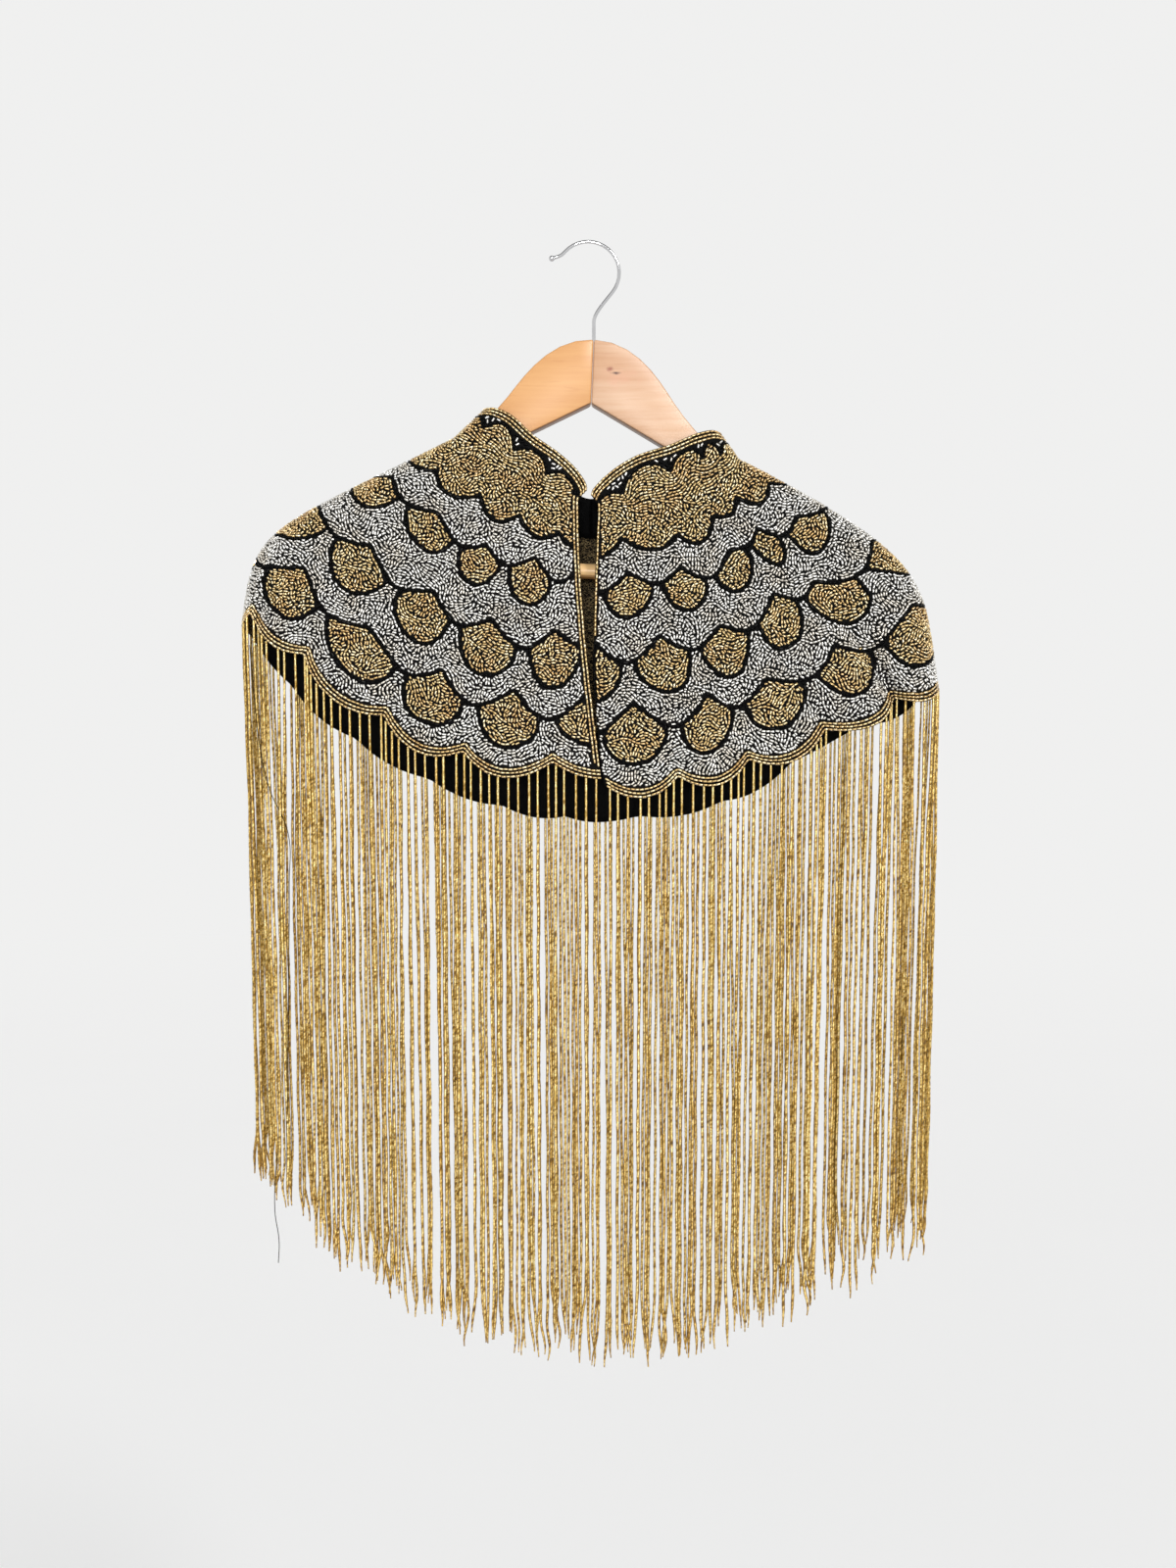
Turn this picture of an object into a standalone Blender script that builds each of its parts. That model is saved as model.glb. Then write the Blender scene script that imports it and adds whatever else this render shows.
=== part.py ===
"""A short beaded cape with a stand collar and a long bead fringe, hung on a wooden hanger.

Sizes are in millimetres and turned into metres where a mesh is made. The origin is the inside of
the hook's bend, where a rail or a peg holds the hanger up. +X is to the viewer's right, the front
faces -Y and +Z is up. The cloth is one surface, worked out along rays that run from the collar's
top over the neck seam to the hem; each cut piece is a slice of that surface with a wall.
"""

import math
from collections import namedtuple

import bmesh
import bpy
import numpy as np
from mathutils import Matrix, Vector
from mathutils.geometry import interpolate_bezier

MM = 0.001

# The cloth. A piece's edge lies this far inside its seam, so that two pieces are twice that apart.
WALL = 2.2
SEAM_HALF_GAP = 0.16
COLLAR_ROWS = 3
BODY_ROWS = 9
COLUMNS_PER_SCALLOP = 4
RAY_STEPS = 32

# How far a ray keeps its first direction, as a share of its chord: more at the side fold, where
# the shoulder runs nearly straight before the cloth drops. Then the same for its last direction.
LEAVING_REACH, FOLD_EXTRA_REACH, FOLD_POWER = 0.35, 0.40, 6
HANGING_REACH = 0.33

# The hem's scallops: how far each hangs below the line through the notches between them.
SCALLOP_DROP = 12.0

# The fold over the hanger: the cloth turns from front to back within this distance of the fold.
NECK_TURN, HEM_TURN = 10.0, 16.0
NECK_HALF_WIDTH, HEM_HALF_WIDTH = 100.0, 290.0

# Columns of points are spread evenly up to this place around, and then lie this near the fold.
EVENLY_UP_TO = 0.93
NEAR_FOLD = (0.055, 0.035, 0.018, 0.006)

# The collar's front corners are rounded off, down to this share of its height.
CORNER_WIDTH, CORNER_HEIGHT = 0.18, 0.55

# The black satin facing inside the back hem, and the fringe that hangs from the whole hem.
FACING_ROWS = 3
FACING_WALL = 1.0
FACING_INSET = 1.2
FACING_GAP = 0.35
FRINGE_LENGTH = 394.0
FRINGE_WALL = 4.0
FRINGE_GAP = 0.8
FRINGE_NARROWING = 0.96

# The hanger, in its own frame: its centre is the crown's top, and it hangs a little askew.
HANGER_X, HANGER_Z = 2.1, -70.6
HANGER_TILT = math.radians(2.5)
ARM_THICKNESS = 12.0
ARM_EDGE = 1.6
ARM_GAP = 0.3
BAR_DIAMETER = 11.0
BAR_DROP = 166.0
FOOT_INSIDE, FOOT_OUTSIDE, FOOT_DROP = 196.0, 214.0, 177.0

BAR_END_GAP = 0.3
BAR_SIDES = 20

# The hook's wire, its bend and the ball on its tip. Angles are up from +X round the bend's centre.
WIRE = 2.6
WIRE_FOOT_GAP = 0.35
SHANK_TOP = -57.0
BEND_RADIUS = 22.5
BEND_X = -2.1
BEND_FROM, BEND_TO, BEND_STEPS = -38, 138, 18
TIP = (-26.6, -10.4)
BALL_RADIUS = 2.2
BALL_ANGLES = (-50, -20, 10, 40, 65)
HOOK_SIDES = 10

# A ray runs from the collar's top through the neck seam to the line through the hem's notches.
# around: 0 at the front edge or centre back, 1 at the side fold. x and z are seen from the front,
# out is the distance from the hanger's middle plane, and leave and hang are the angles, below a
# level line that points outwards, at which the ray leaves the neck seam and reaches the hem.
Ray = namedtuple(
    "Ray", "around top_x top_z top_out neck_x neck_z neck_out hem_x hem_z hem_out leave hang"
)
LEFT_FOLD = Ray(1.00, -77, -119.5, 9.5, -98.8, -140.5, 9.5, -250, -268, 20, 26.5, 84)
RIGHT_FOLD = Ray(1.00, 94, -137.5, 9.5, 107, -155.5, 9.5, 249, -313, 22, 27, 82)
CENTRE_BACK = Ray(0.00, 0, -182, 13, 0, -211, 16, 4, -406, 18, 90, 90)
LEFT_FRONT = (
    Ray(0.00, 1.5, -176, 17, -9, -187.5, 20, 6.0, -375, 34, 90, 97),
    Ray(0.25, -21.9, -154, 13, -32.5, -176.5, 18, -72, -372, 36, 80, 78),
    Ray(0.50, -41, -140, 10.5, -55, -163.8, 15, -140, -345, 34, 66, 64),
    Ray(0.75, -58.6, -124.5, 9.5, -80.5, -149.7, 11.5, -206, -295, 30, 54, 54),
    Ray(0.875, -67, -121, 9.5, -90.5, -144.5, 10.5, -231, -272, 26, 42, 66),
    LEFT_FOLD,
)
RIGHT_FRONT = (
    Ray(0.00, -3.7, -178.8, 17, 5, -191.5, 20, 9.4, -391, 34, 92, 80),
    Ray(0.25, 29.7, -156.7, 13, 37, -189, 18, 70.5, -383, 36, 80, 79),
    Ray(0.50, 56.5, -147, 10.5, 64.5, -183.6, 15, 130, -366, 34, 71, 68),
    Ray(0.75, 77, -138.5, 10, 87.5, -173.5, 12, 195, -338, 31, 57, 55),
    Ray(0.875, 86, -136.5, 9.5, 98, -165.5, 10.5, 222.5, -326, 27, 46, 62),
    RIGHT_FOLD,
)
LEFT_BACK = (
    CENTRE_BACK,
    Ray(0.33, -28, -163, 12.5, -36, -192, 15, -74, -394, 19, 79, 77),
    Ray(0.67, -53, -139, 10.5, -69, -166, 12.5, -167, -350, 19, 56, 58),
    Ray(0.85, -66, -127, 9.5, -86, -151, 10.5, -212, -314, 19, 42, 66),
    LEFT_FOLD,
)
RIGHT_BACK = (
    CENTRE_BACK,
    Ray(0.33, 33, -164, 12.5, 40, -193, 15, 98, -393, 19, 79, 77),
    Ray(0.67, 62, -148, 10.5, 75, -177, 12.5, 176, -346, 19, 58, 60),
    Ray(0.85, 81, -139, 9.5, 94, -166, 10.5, 218, -331, 19, 44, 64),
    RIGHT_FOLD,
)

# The four quarters of the garment: which way is outwards, which way its cloth faces, how many
# scallops its hem has, and where the first one is centred, counted from around = 0.
Quarter = namedtuple("Quarter", "rays outwards facing scallops first_centre")
QUARTERS = {
    "left_front": Quarter(LEFT_FRONT, -1, -1, 4.8, 0.0),
    "left_back": Quarter(LEFT_BACK, -1, 1, 5.2, 0.0),
    "right_back": Quarter(RIGHT_BACK, 1, 1, 4.75, 0.0),
    "right_front": Quarter(RIGHT_FRONT, 1, -1, 4.75, 0.5),
}

# The largest folds: soft ridges (out above 0) and troughs (below 0) that grow towards the hem.
Fold = namedtuple("Fold", "quarter around width out starts")
FOLDS = (
    Fold("left_front", 0.20, 0.060, 3.0, 0.35),
    Fold("left_front", 0.47, 0.050, -3.0, 0.40),
    Fold("left_front", 0.70, 0.050, 3.0, 0.45),
    Fold("left_front", 0.90, 0.022, -4.0, 0.60),
    Fold("right_front", 0.32, 0.045, 6.0, 0.50),
    Fold("right_front", 0.46, 0.045, -3.0, 0.50),
    Fold("right_front", 0.64, 0.035, -5.0, 0.60),
    Fold("right_front", 0.845, 0.030, -11.0, 0.45),
    Fold("left_back", 0.28, 0.060, -3.0, 0.30),
    Fold("left_back", 0.60, 0.050, 3.0, 0.45),
    Fold("right_back", 0.25, 0.060, 3.0, 0.35),
    Fold("right_back", 0.55, 0.050, -3.0, 0.40),
)


def bezier(start, start_handle, end_handle, end, steps):
    """Points of a flat Bezier stretch without its last one, which begins the next stretch."""
    corners = (Vector((*point, 0)) for point in (start, start_handle, end_handle, end))
    return [point.to_2d() for point in interpolate_bezier(*corners, steps + 1)][:-1]


def smooth(share):
    share = np.clip(share, 0.0, 1.0)
    return share * share * (3.0 - 2.0 * share)


def read(rows, column, around):
    """One column of a table of rays at any place around, as a smooth curve through its rows."""
    places = np.array([row.around for row in rows])
    values = np.array([getattr(row, column) for row in rows], float)
    slopes = np.gradient(values, places)
    if rows[0] is CENTRE_BACK and not column.endswith("_x"):
        slopes[0] = 0.0  # The two backs meet level, with no ridge down the middle.
    first = int(np.clip(np.searchsorted(places, around, side="right") - 1, 0, len(rows) - 2))
    width = places[first + 1] - places[first]
    share = (around - places[first]) / width
    rest = 1.0 - share
    return (
        values[first] * (1 + 2 * share) * rest**2
        + slopes[first] * width * share * rest**2
        + values[first + 1] * (3 - 2 * share) * share**2
        - slopes[first + 1] * width * rest * share**2
    )


def turned(around, drop):
    """How far out the cloth is, as a share: 1 over the body, falling to 0 round the side fold."""
    turn = NECK_TURN + (HEM_TURN - NECK_TURN) * drop
    width = NECK_HALF_WIDTH + (HEM_HALF_WIDTH - NECK_HALF_WIDTH) * drop
    inside = np.clip((1.0 - around) * width / turn, 0.0, 1.0)
    return math.sqrt(1.0 - (1.0 - inside) ** 2)


def folds_at(name, around, drop):
    out = 0.0
    for fold in FOLDS:
        if fold.quarter == name:
            share = smooth((drop - fold.starts) / (1.0 - fold.starts))
            out += fold.out * share * math.exp(-(((around - fold.around) / fold.width) ** 2))
    return out


def scallop(quarter, around):
    """How far the hem hangs below the line through its notches."""
    count = around * quarter.scallops - quarter.first_centre
    off_centre = count - round(count)
    return SCALLOP_DROP * (1.0 - (2.0 * off_centre) ** 2)


def collar_height(name, around):
    if name.endswith("back"):
        return 1.0
    inside = min(around / CORNER_WIDTH, 1.0)
    return CORNER_HEIGHT + (1.0 - CORNER_HEIGHT) * math.sqrt(1.0 - (1.0 - inside) ** 2)


def ray_path(quarter, around):
    """The ray from the neck seam to the notches' line, in x and z, and the length along it."""
    neck = np.array([read(quarter.rays, column, around) for column in ("neck_x", "neck_z")])
    hem = np.array([read(quarter.rays, column, around) for column in ("hem_x", "hem_z")])
    leave, hang = (math.radians(read(quarter.rays, key, around)) for key in ("leave", "hang"))
    chord = np.linalg.norm(hem - neck)
    leaving = np.array([quarter.outwards * math.cos(leave), -math.sin(leave)])
    hanging = np.array([quarter.outwards * math.cos(hang), -math.sin(hang)])
    first_handle = neck + leaving * chord * (LEAVING_REACH + FOLD_EXTRA_REACH * around**FOLD_POWER)
    last_handle = hem - hanging * chord * HANGING_REACH
    points = np.array(bezier(neck, first_handle, last_handle, hem, RAY_STEPS) + [hem])
    lengths = np.concatenate([[0], np.cumsum(np.linalg.norm(np.diff(points, axis=0), axis=1))])
    return points, lengths, hanging


def column_of(name, around):
    """The points of one ray: COLLAR_ROWS down to the neck seam, then BODY_ROWS down to the hem."""
    quarter = QUARTERS[name]
    points, lengths, hanging = ray_path(quarter, around)
    neck_out = read(quarter.rays, "neck_out", around)
    hem_out = read(quarter.rays, "hem_out", around)
    column = []
    for row in range(COLLAR_ROWS):
        up = (1.0 - row / COLLAR_ROWS) * collar_height(name, around)
        x, z, out = (
            (1 - up) * read(quarter.rays, "neck_" + key, around)
            + up * read(quarter.rays, "top_" + key, around)
            for key in ("x", "z", "out")
        )
        column.append((x, quarter.facing * out * turned(around, 0.0), z))
    whole = lengths[-1] + scallop(quarter, around)
    for row in range(BODY_ROWS + 1):
        along = whole * row / BODY_ROWS
        drop = min(along / lengths[-1], 1.0)
        x, z = (np.interp(along, lengths, points[:, axis]) for axis in (0, 1))
        past = max(0.0, along - lengths[-1])
        out = neck_out + (hem_out - neck_out) * smooth(drop) + folds_at(name, around, drop)
        y = quarter.facing * out * turned(around, drop)
        column.append((x + past * hanging[0], y, z + past * hanging[1]))
    return column


def places_around(quarter):
    """Where the columns of a quarter lie: on every notch and scallop, and closer round the fold."""
    steps = int(quarter.scallops * COLUMNS_PER_SCALLOP)
    spaced = [step / COLUMNS_PER_SCALLOP / quarter.scallops for step in range(steps + 1)]
    evenly = [place for place in spaced if place < EVENLY_UP_TO]
    return evenly + [1 - near for near in NEAR_FOLD] + [1.0]


def garment():
    """The whole cloth as a grid of points, with outward normals and where its slices begin."""
    columns = []
    starts = {}
    for name in QUARTERS:
        places = places_around(QUARTERS[name])
        if name in ("left_back", "right_front"):
            places = places[::-1]
        starts[name] = max(len(columns) - 1, 0)
        for place in places if not columns else places[1:]:
            columns.append(column_of(name, place))
    points = np.array(columns)
    across = np.gradient(points, axis=0)
    down = np.gradient(points, axis=1)
    normals = np.cross(across, down)
    normals /= np.linalg.norm(normals, axis=2, keepdims=True)
    starts["end"] = len(columns) - 1
    return points, normals, starts


def pulled_in(outer, inner, gap):
    """Both faces of a slice with every edge moved inwards by gap, so that seams don't touch."""
    faces = []
    for face in (outer, inner):
        face = face.copy()
        for axis in (0, 1):
            grid = np.moveaxis(face, axis, 0)
            for edge, beside in ((0, 1), (-1, -2)):
                inwards = grid[beside] - grid[edge]
                grid[edge] += gap * inwards / np.linalg.norm(inwards, axis=1, keepdims=True)
        faces.append(face)
    return faces


def principled(name, colour, roughness, metallic=0.0):
    material = bpy.data.materials.new(name)
    material.use_nodes = True
    shader = material.node_tree.nodes["Principled BSDF"]
    shader.inputs["Base Color"].default_value = (*colour, 1.0)
    shader.inputs["Roughness"].default_value = roughness
    shader.inputs["Metallic"].default_value = metallic
    return material


def make_object(name, mesh_builder, material):
    """A linked object from a bmesh whose faces are turned outwards."""
    bmesh.ops.recalc_face_normals(mesh_builder, faces=mesh_builder.faces)
    mesh = bpy.data.meshes.new(name)
    mesh_builder.to_mesh(mesh)
    mesh_builder.free()
    mesh.materials.append(material)
    piece = bpy.data.objects.new(name, mesh)
    bpy.context.scene.collection.objects.link(piece)
    return piece


def make_wall(name, outer, inner, material):
    """A closed wall between two grids of points, each of columns by rows."""
    builder = bmesh.new()
    sheets = [
        [[builder.verts.new(Vector(point) * MM) for point in column] for column in grid]
        for grid in (outer, inner)
    ]
    columns, rows = len(outer), len(outer[0])
    for sheet in sheets:
        for i in range(columns - 1):
            for j in range(rows - 1):
                builder.faces.new((sheet[i][j], sheet[i + 1][j], sheet[i + 1][j + 1], sheet[i][j + 1]))
    top, bottom = sheets
    for j in range(rows - 1):
        for i in (0, columns - 1):
            builder.faces.new((top[i][j], top[i][j + 1], bottom[i][j + 1], bottom[i][j]))
    for i in range(columns - 1):
        for j in (0, rows - 1):
            builder.faces.new((top[i][j], top[i + 1][j], bottom[i + 1][j], bottom[i][j]))
    bmesh.ops.triangulate(builder, faces=builder.faces)
    return make_object(name, builder, material)


def make_cloth_pieces(points, normals, starts, cloth):
    """The panels and the two halves of the collar, as slices of the garment."""
    neck = COLLAR_ROWS
    slices = {
        "front_left": (0, starts["left_back"], neck, None),
        "back": (starts["left_back"], starts["right_front"], neck, None),
        "front_right": (starts["right_front"], starts["end"], neck, None),
        "collar_left": (0, starts["right_back"], 0, neck + 1),
        "collar_right": (starts["right_back"], starts["end"], 0, neck + 1),
    }
    for name, (first, last, top, bottom) in slices.items():
        outer = points[first : last + 1, top:bottom]
        inner = outer - normals[first : last + 1, top:bottom] * WALL
        make_wall(name, *pulled_in(outer, inner, SEAM_HALF_GAP), cloth)


def make_back_hem_facing(points, normals, starts, satin):
    """The satin band that lies inside the back's hem and shows below the front's."""
    columns = slice(starts["left_back"] + 2, starts["right_front"] - 1)
    rows = slice(-FACING_ROWS - 1, None)
    depth = WALL + FACING_GAP
    outer = points[columns, rows] - normals[columns, rows] * depth
    inner = outer - normals[columns, rows] * FACING_WALL
    make_wall("back_hem_facing", *pulled_in(outer, inner, FACING_INSET), satin)


def make_fringe(points, normals, starts, gold):
    """A plain curtain below each hem: the space that the strands of beads hang in."""
    slices = {
        "fringe_front_left": (0, starts["left_back"]),
        "fringe_back": (starts["left_back"], starts["right_front"]),
        "fringe_front_right": (starts["right_front"], starts["end"]),
    }
    outwards = normals[:, -1] * (1, 1, 0)
    outwards /= np.linalg.norm(outwards, axis=1, keepdims=True)
    middle = points[:, -1] - normals[:, -1] * WALL / 2
    top = middle - (0, 0, FRINGE_GAP)
    bottom = middle * (FRINGE_NARROWING, 1, 1) - (0, 0, FRINGE_LENGTH)
    half = outwards * FRINGE_WALL / 2
    for name, (first, last) in slices.items():
        span = slice(first, last + 1)
        rows = [top[span], (top[span] + bottom[span]) / 2, bottom[span]]
        outer = np.stack([row + half[span] for row in rows], axis=1)
        inner = np.stack([row - half[span] for row in rows], axis=1)
        make_wall(name, *pulled_in(outer, inner, SEAM_HALF_GAP), gold)


def arm_outline():
    """One arm of the hanger, as distance from the crown and drop below it: crown, flare, end."""
    inside = ARM_GAP / 2
    crown = bezier((inside, 0), (32, 0), (49.4, 28.9), (60, 43.5), 7)
    flare = bezier((60, 43.5), (70.6, 58.1), (89.9, 78.1), (106, 86.7), 5)
    shoulder = bezier((196, 134.7), (206, 140), (FOOT_OUTSIDE, 148), (FOOT_OUTSIDE, 158), 4)
    foot = bezier((FOOT_OUTSIDE, 158), (FOOT_OUTSIDE, 170), (212, FOOT_DROP), (204, FOOT_DROP), 4)
    corners = [(204, FOOT_DROP), (FOOT_INSIDE, FOOT_DROP - 1), (FOOT_INSIDE, 152), (inside, 46.1)]
    return crown + flare + shoulder + foot + [Vector(corner) for corner in corners]


def hang_askew(piece):
    piece.location = (HANGER_X * MM, 0, HANGER_Z * MM)
    piece.rotation_euler = (0, HANGER_TILT, 0)


def make_arm(name, side, wood):
    builder = bmesh.new()
    outline = [(side * point.x, -ARM_THICKNESS / 2, -point.y) for point in arm_outline()]
    face = builder.faces.new([builder.verts.new(Vector(point) * MM) for point in outline])
    back_face = bmesh.ops.extrude_face_region(builder, geom=[face])["geom"]
    moved = [item for item in back_face if isinstance(item, bmesh.types.BMVert)]
    bmesh.ops.translate(builder, verts=moved, vec=(0, ARM_THICKNESS * MM, 0))
    piece = make_object(name, builder, wood)
    bevel = piece.modifiers.new("rounded_edges", "BEVEL")
    bevel.width = ARM_EDGE * MM
    bevel.segments = 2
    bevel.limit_method = "ANGLE"
    bevel.angle_limit = math.radians(50)
    hang_askew(piece)


def make_bar(wood):
    builder = bmesh.new()
    bmesh.ops.create_cone(
        builder,
        cap_ends=True,
        segments=BAR_SIDES,
        radius1=BAR_DIAMETER / 2 * MM,
        radius2=BAR_DIAMETER / 2 * MM,
        depth=2 * (FOOT_INSIDE - BAR_END_GAP) * MM,
    )
    bmesh.ops.rotate(builder, verts=builder.verts, matrix=Matrix.Rotation(math.pi / 2, 3, "Y"))
    bmesh.ops.translate(builder, verts=builder.verts, vec=(0, 0, -BAR_DROP * MM))
    hang_askew(make_object("hanger_bar", builder, wood))


def hook_path():
    """The wire's middle line in x and z, from the shank up round the bend to the tip."""
    foot = (HANGER_X, HANGER_Z + WIRE_FOOT_GAP)
    shank_top = (HANGER_X, SHANK_TOP)
    centre = Vector((BEND_X, -BEND_RADIUS + WIRE / 2))
    bend = []
    for step in range(BEND_STEPS + 1):
        angle = math.radians(BEND_FROM + (BEND_TO - BEND_FROM) * step / BEND_STEPS)
        bend.append(centre + BEND_RADIUS * Vector((math.cos(angle), math.sin(angle))))
    shank = bezier(foot, (HANGER_X, -66), (HANGER_X, -61), shank_top, 2)
    sweep = bezier(shank_top, (HANGER_X, -51), bend[0] + Vector((-8, -10)), bend[0], 8)
    tip = bezier(bend[-1], bend[-1] + Vector((-2.7, -3.0)), (-22.8, -9.2), TIP, 5)
    return shank + sweep + bend[:-1] + tip + [Vector(TIP)]


def make_hook(steel):
    """A round wire swept along the path, ending in a small ball."""
    path = hook_path()
    ways = [(after - before).normalized() for before, after in zip(path, path[1:])]
    ball = [math.radians(angle) for angle in BALL_ANGLES]
    stations = [(point, WIRE / 2) for point in path]
    for angle in ball:
        along = ways[-1] * BALL_RADIUS * (math.sin(angle) - math.sin(ball[0]))
        stations.append((path[-1] + along, BALL_RADIUS * math.cos(angle)))
    builder = bmesh.new()
    rings = []
    for index, (point, radius) in enumerate(stations):
        way = ways[min(max(index - 1, 0), len(ways) - 1)]
        if 0 < index < len(ways):
            way = (ways[index - 1] + ways[index]).normalized()
        beside = Vector((way.y, -way.x))
        ring = []
        for side in range(HOOK_SIDES):
            angle = 2 * math.pi * side / HOOK_SIDES
            flat = point + beside * radius * math.cos(angle)
            ring.append(builder.verts.new(Vector((flat.x, radius * math.sin(angle), flat.y)) * MM))
        rings.append(ring)
    for below, above in zip(rings, rings[1:]):
        for side in range(HOOK_SIDES):
            beside = (side + 1) % HOOK_SIDES
            builder.faces.new((below[side], below[beside], above[beside], above[side]))
    builder.faces.new(rings[0])
    builder.faces.new(rings[-1])
    make_object("hanger_hook", builder, steel)


def main():
    for leftover in list(bpy.data.objects):
        bpy.data.objects.remove(leftover, do_unlink=True)
    beaded = principled("beaded_cloth", (0.55, 0.52, 0.45), 0.35, 0.6)
    satin = principled("black_satin", (0.01, 0.01, 0.011), 0.5)
    gold = principled("gold_bead_fringe", (0.62, 0.46, 0.22), 0.3, 0.7)
    orange_wood = principled("varnished_wood", (0.80, 0.50, 0.25), 0.35)
    steel = principled("bright_steel", (0.78, 0.78, 0.79), 0.15, 1.0)
    points, normals, starts = garment()
    make_cloth_pieces(points, normals, starts, beaded)
    make_back_hem_facing(points, normals, starts, satin)
    make_fringe(points, normals, starts, gold)
    make_arm("hanger_arm_left", -1, orange_wood)
    make_arm("hanger_arm_right", 1, orange_wood)
    make_bar(orange_wood)
    make_hook(steel)


main()
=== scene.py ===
"""The looks of the beaded cape on its wooden hanger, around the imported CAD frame.

Lengths are in mm, turned into metres where a mesh is made, in the CAD's frame: +X to the viewer's
right, the front faces -Y, +Z up. The cloth is the CAD's surface, worked out from the same rays, and
covered bead by bead: gold rows along its edges, black ones round the scales, and rows that wander
between them. The fringe is made strand by strand.
"""

import math
from collections import namedtuple

import bpy
import numpy as np
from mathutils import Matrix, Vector
from mathutils.geometry import interpolate_bezier
from mathutils.kdtree import KDTree

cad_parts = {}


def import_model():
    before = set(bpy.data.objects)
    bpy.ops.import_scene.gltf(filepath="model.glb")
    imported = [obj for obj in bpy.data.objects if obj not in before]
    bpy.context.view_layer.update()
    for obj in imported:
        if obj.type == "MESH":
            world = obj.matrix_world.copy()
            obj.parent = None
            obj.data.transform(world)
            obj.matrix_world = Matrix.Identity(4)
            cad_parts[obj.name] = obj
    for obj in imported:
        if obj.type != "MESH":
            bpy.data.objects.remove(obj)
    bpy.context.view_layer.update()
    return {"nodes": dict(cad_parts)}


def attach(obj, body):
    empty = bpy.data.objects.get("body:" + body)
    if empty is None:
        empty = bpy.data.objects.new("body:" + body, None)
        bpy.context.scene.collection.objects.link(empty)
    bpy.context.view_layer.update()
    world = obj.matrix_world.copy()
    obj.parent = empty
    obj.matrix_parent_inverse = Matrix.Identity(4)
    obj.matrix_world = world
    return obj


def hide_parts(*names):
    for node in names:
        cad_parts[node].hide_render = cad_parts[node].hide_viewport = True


MM = 0.001
RNG = np.random.default_rng(11)

# ---- the cloth's surface, as in CAD

SCALLOP_DROP = 12.0
NECK_TURN, HEM_TURN = 10.0, 16.0
NECK_HALF_WIDTH, HEM_HALF_WIDTH = 100.0, 290.0
CORNER_WIDTH, CORNER_HEIGHT = 0.18, 0.55
LEAVING_REACH, FOLD_EXTRA_REACH, FOLD_POWER = 0.35, 0.40, 6
HANGING_REACH = 0.33
RAY_STEPS = 48

# A ray runs from the collar's top through the neck seam to the line through the hem's notches.
# around is 0 at the front edge or centre back, and 1 at the side fold. out is the distance from the
# hanger's middle plane. leave and hang are the ray's angles below a level line that points
# outwards, at the neck seam and at the hem.
Ray = namedtuple(
    "Ray", "around top_x top_z top_out neck_x neck_z neck_out hem_x hem_z hem_out leave hang"
)
LEFT_FOLD = Ray(1.00, -77, -119.5, 9.5, -98.8, -140.5, 9.5, -250, -268, 20, 26.5, 84)
RIGHT_FOLD = Ray(1.00, 94, -137.5, 9.5, 107, -155.5, 9.5, 249, -313, 22, 27, 82)
CENTRE_BACK = Ray(0.00, 0, -182, 13, 0, -211, 16, 4, -406, 18, 90, 90)
LEFT_FRONT = (
    Ray(0.00, 1.5, -176, 17, -9, -187.5, 20, 6.0, -375, 34, 90, 97),
    Ray(0.25, -21.9, -154, 13, -32.5, -176.5, 18, -72, -372, 36, 80, 78),
    Ray(0.50, -41, -140, 10.5, -55, -163.8, 15, -140, -345, 34, 66, 64),
    Ray(0.75, -58.6, -124.5, 9.5, -80.5, -149.7, 11.5, -206, -295, 30, 54, 54),
    Ray(0.875, -67, -121, 9.5, -90.5, -144.5, 10.5, -231, -272, 26, 42, 66),
    LEFT_FOLD,
)
RIGHT_FRONT = (
    Ray(0.00, -3.7, -178.8, 17, 5, -191.5, 20, 9.4, -391, 34, 92, 80),
    Ray(0.25, 29.7, -156.7, 13, 37, -189, 18, 70.5, -383, 36, 80, 79),
    Ray(0.50, 56.5, -147, 10.5, 64.5, -183.6, 15, 130, -366, 34, 71, 68),
    Ray(0.75, 77, -138.5, 10, 87.5, -173.5, 12, 195, -338, 31, 57, 55),
    Ray(0.875, 86, -136.5, 9.5, 98, -165.5, 10.5, 222.5, -326, 27, 46, 62),
    RIGHT_FOLD,
)
LEFT_BACK = (
    CENTRE_BACK,
    Ray(0.33, -28, -163, 12.5, -36, -192, 15, -74, -394, 19, 79, 77),
    Ray(0.67, -53, -139, 10.5, -69, -166, 12.5, -167, -350, 19, 56, 58),
    Ray(0.85, -66, -127, 9.5, -86, -151, 10.5, -212, -314, 19, 42, 66),
    LEFT_FOLD,
)
RIGHT_BACK = (
    CENTRE_BACK,
    Ray(0.33, 33, -164, 12.5, 40, -193, 15, 98, -393, 19, 79, 77),
    Ray(0.67, 62, -148, 10.5, 75, -177, 12.5, 176, -346, 19, 58, 60),
    Ray(0.85, 81, -139, 9.5, 94, -166, 10.5, 218, -331, 19, 44, 64),
    RIGHT_FOLD,
)

# The four quarters, in the order in which they go round: which way is outwards and which way the
# cloth faces, how many scallops the hem has and where the first is centred, how many scales there
# are at the neck and how many more at the hem, and where the first gold one and the collar's first
# lobe are centred.
Quarter = namedtuple(
    "Quarter",
    "rays outwards facing forwards scallops first_centre neck_scales more_scales first_gold first_lobe",
)
QUARTERS = {
    "left_front": Quarter(LEFT_FRONT, -1, -1, True, 4.8, 0.0, 4.0, 0.8, 0.0, 0.5),
    "left_back": Quarter(LEFT_BACK, -1, 1, False, 5.2, 0.0, 6.0, -0.8, 0.0, 0.0),
    "right_back": Quarter(RIGHT_BACK, 1, 1, True, 4.75, 0.0, 5.8, -1.05, 0.0, 0.0),
    "right_front": Quarter(RIGHT_FRONT, 1, -1, False, 4.75, 0.5, 3.7, 1.05, 0.5, 1.1),
}

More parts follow.
